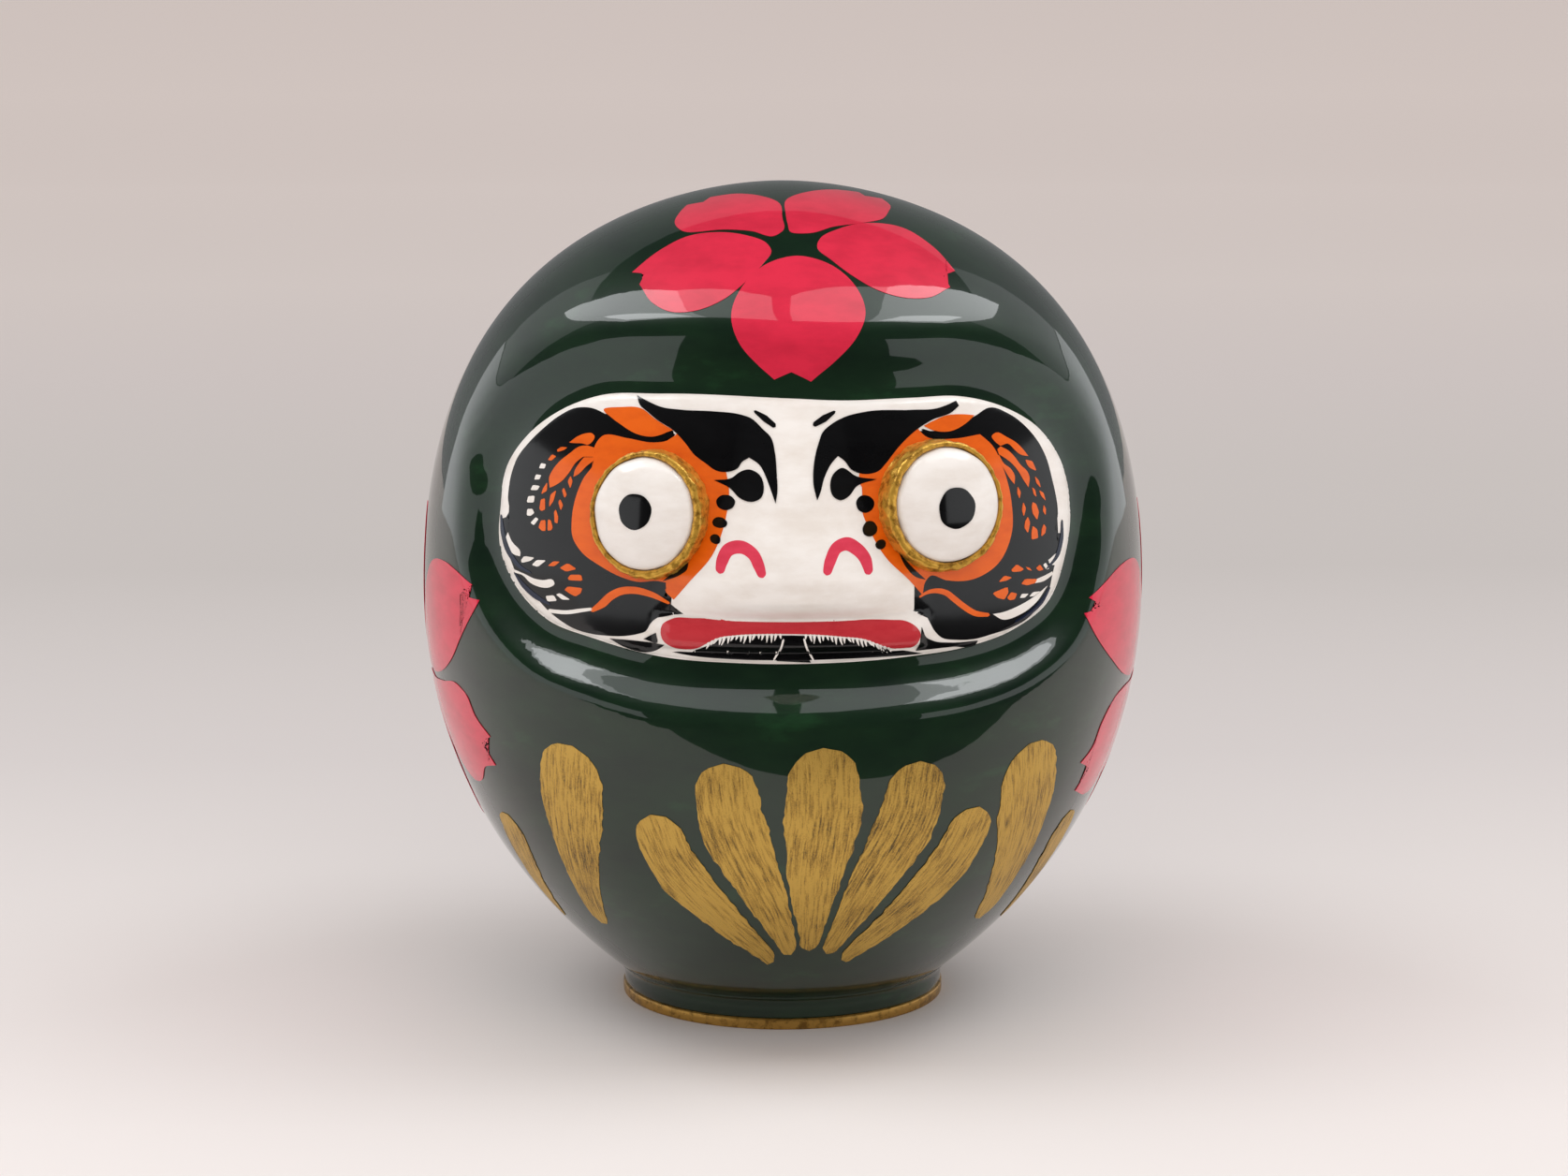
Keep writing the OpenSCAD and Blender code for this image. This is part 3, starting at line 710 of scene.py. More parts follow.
def bumps(tree, where, layers):
    """Stacked bumps, each (wavelength in mm, height in mm, detail, stretch), on the same place."""
    normal = None
    for wavelength, height, detail, stretch in layers:
        lumps = grain(tree, stretched(tree, where, stretch), 1000 / wavelength, detail)
        sockets = {"Height": lumps, "Distance": height * MM, "Strength": 1.0}
        if normal:
            sockets["Normal"] = normal
        normal = add(tree, "ShaderNodeBump", sockets).outputs["Normal"]
    return normal


def lacquer(name, base, shade, bright=None, coat=1.0, coat_rough=0.03, rough=0.35, patch=14.0, hand=1.0):
    """Brushed colour under a clear gloss coat: deep colour, mirror-like reflections that waver a little."""
    material, tree, shader = new_material(name)
    where = place_of(tree)
    cloud = grain(tree, stretched(tree, where, (1, 1, 2.4)), 1000 / patch, 5.0, 0.6)
    # 26 mm hollows of hand-built paper, then 8 mm brush waver
    normal = bumps(tree, where, [(26, 0.20 * hand, 1.0, (1, 1, 1)), (8, 0.035 * hand, 2.0, (1, 1, 0.6))])
    plug(tree, shader, {
        "Base Color": ramp(tree, cloud, [(0.3, shade), (0.6, base), (0.78, bright or base)]),
        "Roughness": rough, "Specular IOR Level": 0.1, "Normal": normal,
        "Coat Weight": coat, "Coat Roughness": coat_rough, "Coat IOR": 1.5, "Coat Normal": normal})
    return material


def gold_paint(name, light, middle, dark):
    """Bronze powder paint laid by a stiff brush: streaks of light and dark gold with ridges between them."""
    material, tree, shader = new_material(name)
    # across the stroke, a number for the stroke, and along it, in mm
    where = add(tree, "ShaderNodeAttribute", attribute_name="stroke").outputs["Vector"]
    streak = grain(tree, stretched(tree, where, (1, 1, 0.1)), 2.2, 4.0, 0.6)
    flake = grain(tree, where, 3.5, 2.0)
    wash = grain(tree, place_of(tree), 1000 / 12.0, 2.0)
    flecks = add(tree, "ShaderNodeMath", {0: flake, 1: 0.35}, operation="MULTIPLY")
    cover = add(tree, "ShaderNodeMath", {0: wash, 1: 0.45, 2: streak}, operation="MULTIPLY_ADD")
    mixed = add(tree, "ShaderNodeMath", {0: cover.outputs["Value"], 1: flecks.outputs["Value"]},
                operation="ADD").outputs["Value"]
    metal = add(tree, "ShaderNodeMapRange", {"Value": mixed, 1: 0.66, 2: 0.9, 3: 0.25, 4: 0.6})
    ridge = add(tree, "ShaderNodeBump", {"Height": mixed, "Distance": 0.2 * MM, "Strength": 1.0})
    plug(tree, shader, {
        "Base Color": ramp(tree, mixed, [(0.66, dark), (0.80, middle), (0.96, light)]),
        "Metallic": metal.outputs["Result"], "Roughness": 0.42, "Normal": ridge.outputs["Normal"]})
    return material


def rough_gilt(name, light, dark, lump=1.3, height=0.22, rough=0.36, metal=0.85):
    """Gold paint over raised paste: lumpy, glittering where the lumps face the light."""
    material, tree, shader = new_material(name)
    where = place_of(tree)
    wear = grain(tree, where, 1000 / 1.8, 5.0, 0.7)
    plug(tree, shader, {
        "Base Color": ramp(tree, wear, [(0.36, dark), (0.52, light)]), "Roughness": rough, "Metallic": metal,
        "Normal": bumps(tree, where, [(lump, height, 4.0, (1, 1, 1))])})
    return material


def matt(name, light, dark, fleck, height=0.1, stretch=(1, 1, 1)):
    """Plain unpainted stock, such as clay, paper or board."""
    material, tree, shader = new_material(name)
    where = place_of(tree)
    flecks = grain(tree, stretched(tree, where, stretch), 1000 / fleck, 6.0, 0.65)
    plug(tree, shader, {
        "Base Color": ramp(tree, flecks, [(0.35, dark), (0.62, light)]), "Roughness": 0.85,
        "Normal": bumps(tree, where, [(fleck, height, 4.0, stretch)])})
    return material


def finish(name):
    """The material of that name, made the first time it is asked for."""
    known = bpy.data.materials.get(name)
    if known:
        return known
    c = bpy.context.scene.daruma_colours
    h = hex_colour
    soft = {"coat_rough": 0.1, "rough": 0.4, "hand": 0.6}
    recipes = {
        # green body lacquer: nearly black in shade, clear reflections
        "urushi_green": lambda: lacquer(name, c.green, h("#102218"), bright=h("#1e4226"), patch=22),
        # red-pink poster colour under the same clear coat
        "blossom_red": lambda: lacquer(name, c.blossom, h("#cd2440"), rough=0.45, patch=9),
        # shell-powder white with a thin varnish, softer gloss than the body
        "gofun_white": lambda: lacquer(name, c.white, h("#ebe5dd"), coat=0.6, coat_rough=0.16, rough=0.42,
                                       patch=11, hand=0.6),
        # the same white, thicker and better polished, on the eyes
        "gofun_eye": lambda: lacquer(name, c.white, h("#eee9e2"), coat=0.8, coat_rough=0.12, rough=0.4,
                                     patch=7, hand=1.2),
        # black ink paint under varnish
        "sumi_black": lambda: lacquer(name, h("#08080a"), h("#0e0e10"), coat=0.8, **soft),
        # dark blue at the edge of the black strokes
        "navy_edge": lambda: lacquer(name, h("#0e1c38"), h("#0a1228"), coat=0.8, **soft),
        # orange round the eyes, thinly varnished
        "vermilion_orange": lambda: lacquer(name, c.orange, h("#e05b06"), coat=0.6, coat_rough=0.14,
                                            rough=0.45, patch=6, hand=0.6),
        # red of the lips
        "lip_red": lambda: lacquer(name, c.lips, h("#bd2c36"), coat=0.8, patch=6, **soft),
        # pink brush arcs of the nostrils
        "nostril_pink": lambda: lacquer(name, h("#e2425c"), h("#d83850"), coat=0.5, coat_rough=0.16,
                                        rough=0.45, patch=5, hand=0.6),
        # gold brushwork on the belly
        "belly_gold": lambda: gold_paint(name, c.gold, h("#a98539"), h("#54421c")),
        # bright gold over raised paste
        "ring_gilt": lambda: rough_gilt(name, h("#e3b045"), h("#96691a"), metal=0.5, rough=0.3),
        # darker, smoother gold on the band under the foot
        "rim_gilt": lambda: rough_gilt(name, h("#b58b42"), h("#7b5a24"), lump=2.5, height=0.08, rough=0.34,
                                       metal=0.7),
        # brown paper strip
        "kraft_strip": lambda: matt(name, h("#a8916f"), h("#8f7a5b"), 3.0, stretch=(1, 1, 0.3)),
        # unglazed clay of the weight
        "bisque_clay": lambda: matt(name, h("#8d6c54"), h("#74563f"), 4.0, height=0.25),
        # grey-brown board under the foot
        "bookbinding_board": lambda: matt(name, h("#a3917a"), h("#8a7a64"), 1.5, height=0.06),
    }
    return recipes[name]()


# ---------------------------------------------------------------- sizes and colours

def length(name, description, default):
    """A size in metres that a user may change."""
    return FloatProperty(name=name, description=description, default=default, unit="LENGTH", min=0.0,
                         precision=4)


def colour(name, description, code):
    """A colour that a user may change."""
    return FloatVectorProperty(name=name, description=description, default=hex_colour(code), subtype="COLOR",
                               min=0.0, max=1.0)


class DarumaSizes(PropertyGroup):
    """Sizes of the doll, in metres."""
    height: length("Height", "Height of the doll", round(CAD_BOX[1].z, 4))
    width: length("Width", "Width of the body at the waist", round(2 * CAD_BOX[1].x, 4))
    waist_height: length("Waist height", "Height of the widest place", 0.093)
    wall: length("Wall", "Thickness of the paper shell", 0.002)
    bore: length("Foot bore", "Radius of the opening inside the foot", 0.0315)
    foot_radius: length("Foot radius", "Outside radius of the foot", 0.0353)
    rim_height: length("Rim height", "Height of the gilt band under the foot", 0.0024)
    face_depth: length("Face depth", "How far the face lies behind the body", 0.008)
    side_border: length("Side border", "Width of the slope beside the face", 0.010)
    brow_border: length("Brow border", "Width of the slope above the face", 0.0165)
    collar_border: length("Collar border", "Width of the slope below the face", 0.0118)
    eye_radius: length("Eye radius", "Radius of the raised eye", 0.01135)
    eye_rise: length("Eye rise", "Height of the eye above its seat", 0.0085)
    ring_width: length("Ring width", "Width of the gilt ring round each eye", 0.0019)
    columns: IntProperty(name="Columns", description="Steps round the body", default=288, min=48)


class DarumaColours(PropertyGroup):
    """Colours of the lacquer and paints."""
    green: colour("Lacquer", "Green of the body", "#162d1c")
    blossom: colour("Blossom", "Red-pink of the petals", "#df2a48")
    white: colour("White", "Shell-powder white of the face", "#f6f3ee")
    orange: colour("Orange", "Orange round the eyes", "#ec660a")
    lips: colour("Lips", "Red of the mouth", "#c8373f")
    gold: colour("Gold", "Brushed gold of the belly", "#d0a951")


# ---------------------------------------------------------------- pieces

class DARUMA_OT_body(Operator):
    """Front and rear halves of the lacquered paper shell"""
    bl_idname = "daruma.body"
    bl_label = "Body shells"

    def execute(self, context):
        s = context.scene.daruma_sizes
        skin = Skin(s)
        bm = spun(skin.outline(1.3, s.bore / MM), s.columns)
        co = coords(bm)
        front = co[:, 1] < -1e-3
        co[front, 1] += skin.recess(co[front, 0], co[front, 2])
        set_coords(bm, co)
        keep_normals(bm)
        for side, name, node in ((-1, "front_skin", "front_shell"), (1, "rear_skin", "rear_shell")):
            half = bm.copy()
            bmesh.ops.bisect_plane(half, geom=half.verts[:] + half.edges[:] + half.faces[:], dist=1e-3,
                                   plane_co=(0, 0, 0), plane_no=(0, side, 0), clear_inner=True)
            bmesh.ops.solidify(half, geom=half.faces[:], thickness=s.wall / MM)
            made = piece(name, half, finish("urushi_green"))
            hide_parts(node)
        bm.free()
        return {"FINISHED"}


class DARUMA_OT_face(Operator):
    """White face panel with its muzzle, nose and lips in relief"""
    bl_idname = "daruma.face"
    bl_label = "Face panel"

    def execute(self, context):
        s = context.scene.daruma_sizes
        skin = Skin(s)
        bm = sheet_of([skin.panel], 0.85)
        co = coords(bm)
        p, n = seat(skin.on_face, co[:, 0], co[:, 2], 0.35)
        set_coords(bm, p)
        bm.normal_update()
        if sum(f.normal.y for f in bm.faces) > 0:
            bmesh.ops.reverse_faces(bm, faces=bm.faces[:])
        keep_normals(bm, n)
        bed = s.face_depth / MM + PANEL_THICK
        thicken(bm, lambda at, out: Vector((at.x, bed - math.sqrt(skin.radius(at.z)**2 - at.x**2), at.z)))
        made = piece("face_panel", bm, finish("gofun_white"))
        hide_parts("face_mask")
        return {"FINISHED"}


class DARUMA_OT_face_paint(Operator):
    """Black, orange, red and white painting on the face"""
    bl_idname = "daruma.face_paint"
    bl_label = "Face painting"

    def execute(self, context):
        # each film's lift, in mm, puts it above the ones that it crosses
        face = Skin(context.scene.daruma_sizes).on_face
        paint("black_fields", [curve(o) for o in BLACK_FIELDS], face, 0.06, finish("sumi_black"))
        orange = [curve(o) for o in ORANGE_FIELDS + ORANGE_CAPS + WING_LEAVES]
        orange += [cut(c) for c in ORANGE_CUTS] + [brush_line(*o) for o in ORANGE_LINES]
        paint("orange_fields", orange[:2], face, 0.11, finish("vermilion_orange"))
        paint("orange_feathers", orange[2:], face, 0.13, finish("vermilion_orange"))
        white = [curve(o) for o in WHITE_LEAVES] + [cut(c) for c in WHITE_CUTS]
        white += [brush_line(*o) for o in WHITE_LINES]
        paint("white_feathers", white, face, 0.13, finish("gofun_white"))
        paint("navy_strokes", [brush_line(*o) for o in NAVY_LINES], face, 0.16, finish("navy_edge"))
        black = [curve(o) for o in BROWS + CRESCENTS + TEARS + CHEEK_LEAVES]
        black += [blob(*d, seed=i) for i, d in enumerate(DOTS)] + [brush_line(*o) for o in DASHES]
        paint("brows_and_dots", black, face, 0.18, finish("sumi_black"))
        paint("under_lip", [curve(UNDER_LIP)], face, 0.06, finish("sumi_black"))
        paint("mouth", [curve(MOUTH)], face, 0.1, finish("lip_red"), step=0.9)
        arcs = [brush_line(o, NOSTRIL_WIDTHS) for o in NOSTRILS]
        paint("nostrils", arcs, face, 0.06, finish("nostril_pink"))
        paint("lip_fringe", self.fringe(), face, 0.12, finish("gofun_white"))
        paint("chin_tuft", [curve(CHIN_TUFT)], face, 0.14, finish("sumi_black"))
        return {"FINISHED"}

    @staticmethod
    def fringe():
        """Short white hairs hanging from the lip, drawn one by one."""
        lip = curve(MOUTH[12:22], 0.5, closed=False)[::-1]
        run = np.r_[0, np.cumsum(np.linalg.norm(np.diff(lip, axis=0), axis=1))]
        hairs = []
        for k in range(FRINGE_HAIRS):
            at = run[-1] * (k + 0.5) / FRINGE_HAIRS
            x, z = np.interp(at, run, lip[:, 0]), np.interp(at, run, lip[:, 1])
            if abs(x - 0.3) < 2.2:  # the chin tuft hangs here
                continue
            lean = 0.035 * x + 0.25 * math.sin(2.7 * k)
            drop = 1.5 + 0.45 * math.sin(5.1 * k)
            hairs.append(brush_line([(x, z + 0.05), (x + lean * 0.4, z - drop * 0.55), (x + lean, z - drop)],
                                    (0.75, 0.42, 0.12)))
        hairs += [brush_line(line, (0.4, 0.4, 0.35))  # two white lines beside the tuft
                  for line in ([(-1.8, 92.8), (-2.4, 90.6), (-3.8, 88)],
                               [(2.3, 92.9), (3, 90.6), (4.4, 87.8)])]
        return hairs


def dome(sizes, x, y):
    """Height of the eye's dome above its bed."""
    r = np.minimum(np.hypot(x, y) / (sizes.eye_radius / MM), 0.999)
    return EYE_SEAT + (sizes.eye_rise / MM - EYE_SEAT) * (1 - r**2.2)**0.62


class DARUMA_OT_eyes(Operator):
    """Raised white eyes, their gilt rings and pupils"""
    bl_idname = "daruma.eyes"
    bl_label = "Eyes"

    def execute(self, context):
        s = context.scene.daruma_sizes
        skin = Skin(s)
        for name, (bearing, height, shift, oval, spot, nose) in EYES.items():
            there = (Matrix.Translation((shift[0], s.face_depth / MM, shift[1]))
                     @ Matrix.Rotation(math.radians(bearing), 4, "Z")
                     @ Matrix.Translation((0, EYE_OUT - float(skin.radius(height)), height))
                     @ Matrix.Rotation(math.radians(EYE_LEAN), 4, "X")
                     @ Matrix.Diagonal((*oval, 1, 1)))
            self.ball(name, s, there)
            self.ring(name, s, there, math.radians(nose))
            self.pupil(name, s, there, blob(*spot, seed=height))
        return {"FINISHED"}

    @staticmethod
    def ball(name, s, there):
        """The white domed eye."""
        radius = s.eye_radius / MM
        profile = [(0, dome(s, 0, 0))] + [(radius * t, dome(s, radius * t, 0))
                                          for t in np.linspace(0, 1, 26)[1:-1]]
        profile += [(radius, 3.6), (radius, 2), (radius, 0), (0, 0)]
        bm = spun(profile, 96)
        roughen(bm, 5.0, 0.22, lambda c: c.z > 3)
        bm.transform(there)
        made = piece(name + "_dome", bm, finish("gofun_eye"))
        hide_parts(name)

    @staticmethod
    def ring(name, s, there, nose):
        """The raised gilt ring, whose paste is thickest towards the nose."""
        radius, w = s.eye_radius / MM, s.ring_width / MM
        arc = [(radius + w * (0.4 + 0.42 * math.cos(a)), 4.1 + 0.8 * math.sin(a))
               for a in np.linspace(0, math.pi, 9)]
        wall = [(radius + w, -0.4), (radius + w - 0.1, 0.8), (radius + w - 0.2, 2), (radius + w - 0.3, 3.2)]
        bm = spun(wall + arc + [(radius + 0.02, 3), (radius + 0.02, -0.4)], 200, closed=True)
        bmesh.ops.subdivide_edges(bm, edges=[e for e in bm.edges if e.calc_length() > 1.0], cuts=1,
                                  use_grid_fill=True)
        for v in bm.verts:
            r, at = math.hypot(v.co.x, v.co.y), math.atan2(v.co.y, v.co.x)
            share = (radius + (r - radius) * (0.88 + 0.34 * math.cos(at - nose))) / r
            v.co.x, v.co.y = v.co.x * share, v.co.y * share
        for lump, height in ((1.7, 0.3), (0.7, 0.12)):
            roughen(bm, lump, height, lambda c: math.hypot(c.x, c.y) > radius + 0.1)
        bm.transform(there)
        made = piece(name + "_gilt", bm, finish("ring_gilt"))
        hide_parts(name + "_ring")

    @staticmethod
    def pupil(name, s, there, outline):
        """The black spot painted on the dome."""
        basis, centre, reach = np.array(there.to_3x3()), np.array(there.translation), 0.3

        def place(x, y):
            return np.stack([x, y, dome(s, x, y)], -1) @ basis.T + centre

        bm = sheet_of([outline], 0.8)
        co = coords(bm)
        u, v = co[:, 0], co[:, 2]
        n = np.cross(place(u + reach, v) - place(u - reach, v), place(u, v + reach) - place(u, v - reach))
        n /= np.linalg.norm(n, axis=1, keepdims=True)
        set_coords(bm, place(u, v) + n * 0.16)
        bm.normal_update()
        if sum(f.normal.y for f in bm.faces) > 0:
            bmesh.ops.reverse_faces(bm, faces=bm.faces[:])
        keep_normals(bm, n)
        thicken(bm, lambda at, out: at - out * 0.12)
        piece(name + "_pupil", bm, finish("sumi_black"))


class DARUMA_OT_foot(Operator):
    """Lacquered foot and the gilt band under it"""
    bl_idname = "daruma.foot"
    bl_label = "Foot"

    def execute(self, context):
        s = context.scene.daruma_sizes
        skin = Skin(s)
        r, bore, rim = s.foot_radius / MM, s.bore / MM, s.rim_height / MM
        top_r, cove = r + FOOT_FLARE, FOOT_COVE
        top_z = float(skin.underside(top_r)) - 0.02
        arc = [(r + cove * (1 - math.cos(a)), top_z - 2.6 + 2.9 * math.sin(a))
               for a in np.linspace(0, 0.93, 8)]
        arc = [(x, z) for x, z in arc if z < skin.underside(x) - 0.02]
        under = [(x, float(skin.underside(x)) - 0.03) for x in np.linspace(arc[-1][0] + 0.1, bore, 8)]
        bm = spun([(bore, rim), (r - 0.25, rim), (r, rim + 0.3)] + arc + under, FOOT_STEPS, closed=True)
        made = piece("foot_collar", bm, finish("urushi_green"))
        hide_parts("foot_ring")
        band = r + 0.3
        bm = spun([(bore, 0), (band - 0.35, 0), (band - 0.08, 0.12), (band, 0.45), (band, 1.2),
                   (band, rim - 0.4), (band - 0.1, rim - 0.12), (band - 0.35, rim), (bore, rim)],
                  FOOT_STEPS, closed=True)
        roughen(bm, 6.0, 0.12, lambda c: math.hypot(c.x, c.y) > r and c.z > 0.3)
        made = piece("foot_band", bm, finish("rim_gilt"))
        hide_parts("foot_rim")
        return {"FINISHED"}


class DARUMA_OT_inside(Operator):
    """Finishes for the parts inside and under the doll"""
    bl_idname = "daruma.inside"
    bl_label = "Inside parts"

    def execute(self, context):
        for node, name in (("seam_strip", "kraft_strip"), ("ballast_weight", "bisque_clay"),
                           ("base_disc", "bookbinding_board")):
            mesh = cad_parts[node].data
            mesh.materials.clear()
            mesh.materials.append(finish(name))
        return {"FINISHED"}


class DARUMA_OT_blossoms(Operator):
    """Red blossoms on the crown and on both flanks"""
    bl_idname = "daruma.blossoms"
    bl_label = "Blossoms"

    def execute(self, context):
        skin = Skin(context.scene.daruma_sizes)
        red = finish("blossom_red")
        paint("crown_blossom", [curve(p, 0.9) for p in CROWN_PETALS], skin.on_crown, 0.09, red)
        for name, side, ahead in (("left", -1, LEFT_PETALS), ("right", 1, RIGHT_PETALS)):
            behind = [[(side * a, *rest) for a, *rest in petal] for petal in REAR_PETALS]
            paint(name + "_blossom", [curve(petal, 0.9) for petal in ahead + behind], skin.on_body, 0.17, red,
                  step=0.55)
        return {"FINISHED"}


def gold_stroke(bm, layer, place, points, widths, seed, lift):
    """One brush stroke: a strip along the points whose sides waver like bristles."""
    line = curve(points, 1.0, closed=False)
    run = np.r_[0, np.cumsum(np.linalg.norm(np.diff(line, axis=0), axis=1))]
    rows, cols = len(line), 13
    along = np.gradient(line, axis=0)
    side = np.stack([-along[:, 1], along[:, 0]], 1) / np.linalg.norm(along, axis=1)[:, None]
    share = run / run[-1]
    half = np.interp(share, np.linspace(0, 1, len(widths)), widths) / 2
    # rounded ends: the width falls to nothing over the last part of each end
    for end, reach in ((run, widths[0] / 2), (run[-1] - run, widths[-1] / 2)):
        half = half * np.sqrt(np.clip(1 - np.clip(1 - end / max(reach, 0.6), 0, 1)**2, 0, 1))
    start = len(bm.verts)
    bmesh.ops.create_grid(bm, x_segments=cols - 1, y_segments=rows - 1, size=1)
    bm.verts.ensure_lookup_table()
    verts = bm.verts[start:]
    grid = np.array([v.co for v in verts])
    t = np.clip(grid[:, 0], -1, 1)
    i = np.rint((grid[:, 1] + 1) / 2 * (rows - 1)).astype(int)
    waver = np.array([noise.noise((k * 0.55, seed * 7.7, sign * 3.1))
                      for k in range(rows) for sign in (-1, 1)])
    waver = waver.reshape(rows, 2)[i, (t > 0).astype(int)] * 0.55 * np.abs(t)
    offset = t * (half[i] + waver * np.minimum(half[i], 1))
    flat = line[i] + side[i] * offset[:, None]
    p, n = seat(place, flat[:, 0], flat[:, 1])
    for v, q, m, o, r in zip(verts, p, n, offset, run[i]):
        v.co = q + m * lift
        v[layer["lay"]] = m
        v[layer["stroke"]] = (o, seed * 17.3, r)


# Gold drops round the belly: distance round the body and height, then widths
GOLD_DROPS = [
    ([(-47.5, 68.5), (-50.5, 58), (-55, 43), (-61.5, 24.5)], (15.6, 16.8, 11, 5.5)),
    ([(53.5, 67.5), (57.5, 55), (61.5, 41), (64.8, 24.5)], (15, 17.6, 13.5, 7)),
    ([(-77.5, 48), (-80.5, 40), (-84.5, 31), (-88.5, 22)], (9, 10.5, 8, 3.5)),
    ([(81, 47.5), (82.5, 39), (85, 30), (87.5, 21)], (9, 11, 8, 3.5)),
]
# A plain fan of brush drops on the belly
GOLD_FAN = [
    ([(6, 71), (6.5, 56), (5.5, 39), (6, 22)], (13, 17, 12, 4.5)),
    ([(-14, 67.5), (-13, 54), (-7, 38), (0.5, 21)], (12, 15, 10.5, 4)),
    ([(26.5, 67), (25.5, 54), (19, 38), (11.5, 21)], (12, 15, 10.5, 4)),
    ([(-31, 55), (-28, 43.5), (-18, 31), (-5, 19)], (11, 13.5, 9, 3.5)),
    ([(43, 55), (40, 43.5), (30.5, 31), (17, 19)], (11, 13.5, 9, 3.5)),
]


class DARUMA_OT_gold(Operator):
    """Gold brush drops round the belly and the fan of drops in front"""
    bl_idname = "daruma.gold"
    bl_label = "Gold brushwork"

    def execute(self, context):
        skin = Skin(context.scene.daruma_sizes)
        for name, strokes in (("gold_drops", GOLD_DROPS), ("gold_fan", GOLD_FAN)):
            bm = bmesh.new()
            layer = {key: bm.verts.layers.float_vector.new(key) for key in ("lay", "stroke")}
            for k, (points, widths) in enumerate(strokes):
                gold_stroke(bm, layer, skin.on_body, points, widths, k + len(name), 0.1 + 0.015 * k)
            bmesh.ops.remove_doubles(bm, verts=bm.verts[:], dist=1e-3)
            bmesh.ops.dissolve_degenerate(bm, dist=1e-4, edges=bm.edges[:])
            bmesh.ops.recalc_face_normals(bm, faces=bm.faces[:])
            bm.normal_update()
            for f in bm.faces:
                if f.normal.dot(sum((v[layer["lay"]] for v in f.verts), Vector())) < 0:
                    f.normal_flip()
            thicken(bm, lambda at, out: at - out * 0.07)
            piece(name, bm, finish("belly_gold"))
        return {"FINISHED"}


# How far back the paper's painted light and shade runs, in metres, and the painted tones along that run
PAPER_FADE = (-0.2, 4.0)
PAPER_PAINTED_LIGHT = ((0.024, "#ebe7e5"), (0.057, "#ddd9d7"), (0.106, "#cecac9"), (0.18, "#c5c2c0"),
               (0.238, "#cdcac8"), (0.314, "#dad6d5"), (0.42, "#eae6e4"), (0.6, "#f5f1ef"), (0.92, "#fcf8f6"))
PAPER_RINGS = (0, 0.1, 0.3, 1, 3, 9)  # radii, in metres
# The lacquer mirrors the paper only behind this line: a point on it, and the way to its front
PAPER_EDGE, PAPER_AHEAD = Vector((0, -0.148, 0)), Vector((0.25, -1, 0))
# Soft boxes overhead, one pair each: near and far edge as x and y one metre above the centre, scale, glow,
# and whether they light the doll as well as show in the lacquer
BOX_CENTRE = Vector((0, -0.045, 0.155))
STRIP_BOXES = (
    ("strip_box_inner", ((0.04, -0.42), (0.45, -0.31)), ((0.04, 0.0), (0.45, 0.24)), 1.0, 1.6, True),
    ("strip_box_outer", ((0.45, -0.31), (1.15, -0.12)), ((0.45, 0.24), (1.15, 1.0)), 1.0, 3.6, True),
    ("strip_box_bright", ((0.52, -0.25), (1.05, -0.06)), ((0.60, -0.02), (1.0, 0.26)), 0.97, 8.0, False),
)
# Cards bent round the doll, one pair each: bearings and elevations in degrees, distance in metres, glow
ROUND_CARDS = (
    ("side_card", (40, 142), (-9, 17), 1.5, 1.05),
    ("shoulder_card", (98, 142), (17, 42), 2.2, 0.5),
    ("back_card", (142, 180), (-9, 42), 2.4, 0.2),
)
CARD_Z = 0.11  # height that the elevations are taken from
FILL_GLOW, FILL_SIZE, FILL_PLACE, FILL_AIM = 0.9, (2.0, 1.2), (0, -1.5, 1.2), Vector((0, 0, 0.1))
ROOM_COLOUR, ROOM_GLOW = "#ded4d0", 0.92
SENSOR, LENS = 36.0, 93.74  # millimetres
CAMERA_TARGET, CAMERA_DISTANCE = Vector((0.0003, 0, 0.0905)), 0.9
CAMERA_TURN, CAMERA_TILT = math.radians(1.6), math.radians(10)


def staged(name, mesh, mirrored, seen):
    """Puts a mesh on the stage. One that isn't seen casts no shadow and lights nothing."""
    mesh.validate()
    made = bpy.data.objects.new(name, mesh)
    made.visible_glossy, made.visible_camera = mirrored, seen
    made.visible_diffuse = made.visible_shadow = seen
    bpy.context.scene.collection.objects.link(made)
    return made


def studio_paper_painted_light():
    """Pale paper with light and shade painted into its colour: light in front of the doll, a painted darker
    band behind it, then lighter again far back.
    """
    paper, tree, shader = new_material("studio_paper_painted_light")
    run = add(tree, "ShaderNodeSeparateXYZ", {"Vector": place_of(tree)}).outputs["Y"]
    deep = add(tree, "ShaderNodeMapRange", {"Value": run, 1: PAPER_FADE[0], 2: PAPER_FADE[1], 3: 0.0, 4: 1.0})
    # painted light and shade: the paper's colour darkens and lightens with distance back, not through the
    # lamps
    painted_light_tones = ramp(tree, deep.outputs["Result"], [(at, hex_colour(code)) for at, code in PAPER_PAINTED_LIGHT])
    plug(tree, shader, {"Base Color": painted_light_tones, "Roughness": 0.8, "Specular IOR Level": 0.1})
    return paper


def paper_sheet(name, paper, ahead, mirrored):
    """The part of the studio paper that lies behind the edge, seen the way ahead."""
    bm = spun([(r, 0) for r in PAPER_RINGS], 96)
    bmesh.ops.bisect_plane(bm, geom=bm.verts[:] + bm.edges[:] + bm.faces[:], dist=1e-6,
                           plane_co=PAPER_EDGE, plane_no=ahead, clear_outer=True)
    mesh = bpy.data.meshes.new(name)
    bm.to_mesh(mesh)
    bm.free()
    mesh.materials.append(paper)
    staged(name, mesh, mirrored, True)


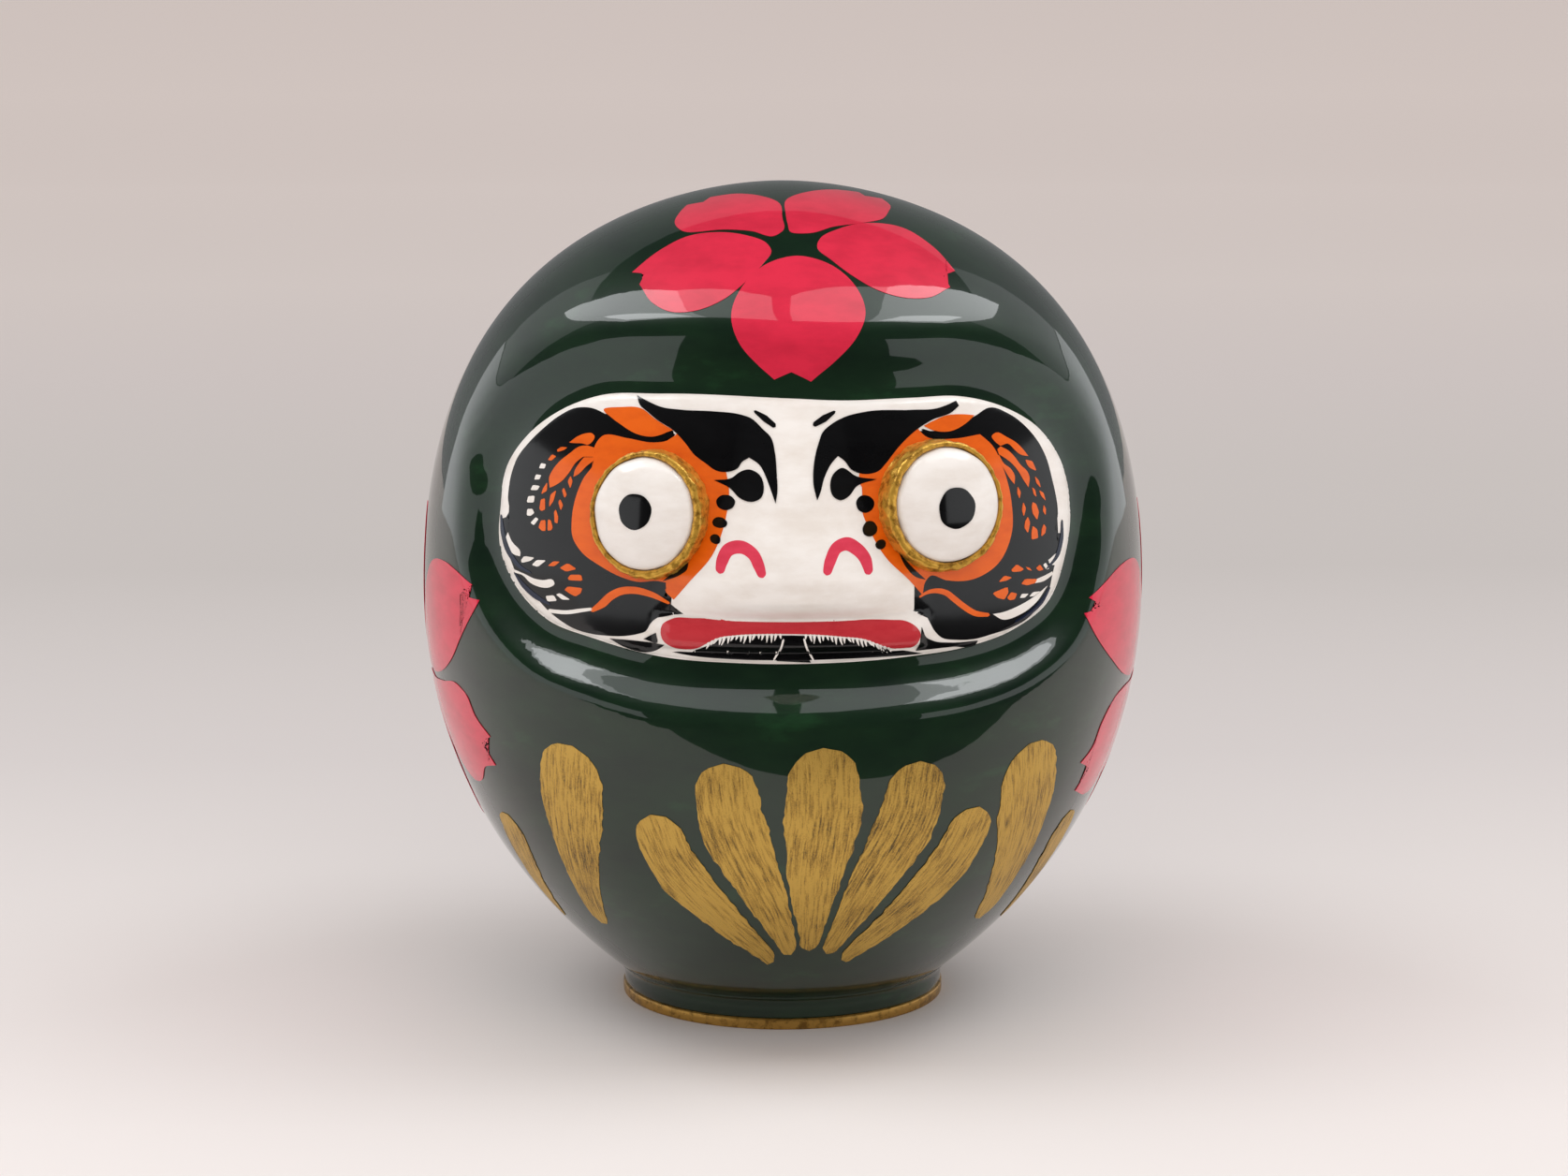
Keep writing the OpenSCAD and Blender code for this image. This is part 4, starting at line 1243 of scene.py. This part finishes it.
def card(name, rows, glow, lights=False):
    """A glowing sheet through rows of points; one that isn't a light is only seen in reflections."""
    glowing = bpy.data.materials.get("card_%g" % glow)
    if not glowing:
        glowing, tree, shader = new_material("card_%g" % glow)
        plug(tree, shader, {"Base Color": (0, 0, 0, 1), "Emission Color": (*hex_colour("#fbfdff"), 1),
                            "Emission Strength": glow})
    wide = len(rows[0])
    faces = [(i * wide + k, i * wide + k + 1, (i + 1) * wide + k + 1, (i + 1) * wide + k)
             for i in range(len(rows) - 1) for k in range(wide - 1)]
    mesh = bpy.data.meshes.new(name)
    mesh.from_pydata([p for row in rows for p in row], [], faces)
    mesh.materials.append(glowing)
    made = staged(name, mesh, True, False)
    made.visible_diffuse = lights


def round_card(name, side, turn, rise, far, glow):
    """A card bent round the doll between two bearings and two elevations."""
    rows = []
    for tilt in np.linspace(*np.radians(rise), 3):
        rows.append([(side * far * math.sin(b), -far * math.cos(b), CARD_Z + far * math.tan(tilt))
                     for b in np.linspace(*np.radians(turn), 13)])
    card(name, rows, glow)


class DARUMA_OT_stage(Operator):
    """Pale floor, soft lights and the camera"""
    bl_idname = "daruma.stage"
    bl_label = "Stage"

    def execute(self, context):
        scene = context.scene
        paper = studio_paper_painted_light()
        paper_sheet("studio_floor", paper, PAPER_AHEAD, True)
        paper_sheet("studio_front", paper, -PAPER_AHEAD, False)
        for side in (-1, 1):
            for name, near, far, scale, glow, lights in STRIP_BOXES:
                rows = [[BOX_CENTRE + Vector((side * x, y, 1.0)) * scale for x, y in edge]
                        for edge in (near, far)]
                card(name, rows, glow, lights)
            for name, *shape in ROUND_CARDS:
                round_card(name, side, *shape)
        self.light(scene)
        self.camera(scene)
        return {"FINISHED"}

    @staticmethod
    def light(scene):
        """A wide soft lamp in front, which the lacquer doesn't mirror, and the glow of the room."""
        fill = bpy.data.lights.new("front_fill", "AREA")
        fill.shape, (fill.size, fill.size_y) = "RECTANGLE", FILL_SIZE
        fill.energy = FILL_GLOW * math.pi * fill.size * fill.size_y
        lamp = bpy.data.objects.new("front_fill", fill)
        lamp.location = FILL_PLACE
        lamp.rotation_euler = (FILL_AIM - lamp.location).to_track_quat("-Z", "Y").to_euler()
        lamp.visible_camera = lamp.visible_glossy = False
        scene.collection.objects.link(lamp)
        world = bpy.data.worlds.new("studio")
        scene.world = world
        world.use_nodes = True
        plug(world.node_tree, world.node_tree.nodes["Background"],
             {"Color": (*hex_colour(ROOM_COLOUR), 1), "Strength": ROOM_GLOW})
        world.cycles_visibility.glossy = False
        scene.view_settings.view_transform = "Standard"

    @staticmethod
    def camera(scene):
        """The camera, a little to the doll's right and above it."""
        data = bpy.data.cameras.new("camera")
        data.sensor_width, data.lens = SENSOR, LENS
        data.dof.use_dof = False
        data.clip_start, data.clip_end = 0.01, 20.0
        made = bpy.data.objects.new("camera", data)
        back = Vector((-math.sin(CAMERA_TURN) * math.cos(CAMERA_TILT),
                       -math.cos(CAMERA_TURN) * math.cos(CAMERA_TILT), math.sin(CAMERA_TILT)))
        made.location = CAMERA_TARGET + back * CAMERA_DISTANCE
        made.rotation_euler = (-back).to_track_quat("-Z", "Y").to_euler()
        scene.collection.objects.link(made)
        scene.camera = made


PIECES = (DARUMA_OT_body, DARUMA_OT_face, DARUMA_OT_face_paint, DARUMA_OT_eyes, DARUMA_OT_foot,
          DARUMA_OT_inside, DARUMA_OT_blossoms, DARUMA_OT_gold, DARUMA_OT_stage)


class DARUMA_PT_panel(Panel):
    """Lists the doll's operators, sizes and colours"""
    bl_label = "Daruma"
    bl_idname = "DARUMA_PT_panel"
    bl_space_type = "VIEW_3D"
    bl_region_type = "UI"
    bl_category = "Daruma"

    def draw(self, context):
        for made in PIECES:
            self.layout.operator(made.bl_idname)
        for group in (context.scene.daruma_sizes, context.scene.daruma_colours):
            for name in group.__annotations__:
                self.layout.prop(group, name)


CLASSES = (DarumaSizes, DarumaColours, *PIECES, DARUMA_PT_panel)


def register():
    """Makes the operators, the panel and the settings known to Blender."""
    for cls in CLASSES:
        bpy.utils.register_class(cls)
    bpy.types.Scene.daruma_sizes = PointerProperty(type=DarumaSizes)
    bpy.types.Scene.daruma_colours = PointerProperty(type=DarumaColours)


def unregister():
    """Takes them away again."""
    del bpy.types.Scene.daruma_colours
    del bpy.types.Scene.daruma_sizes
    for cls in reversed(CLASSES):
        bpy.utils.unregister_class(cls)


def main():
    """Builds the doll piece by piece."""
    register()
    for made in PIECES:
        group, name = made.bl_idname.split(".")
        getattr(getattr(bpy.ops, group), name)()


if __name__ == "__main__":
    main()
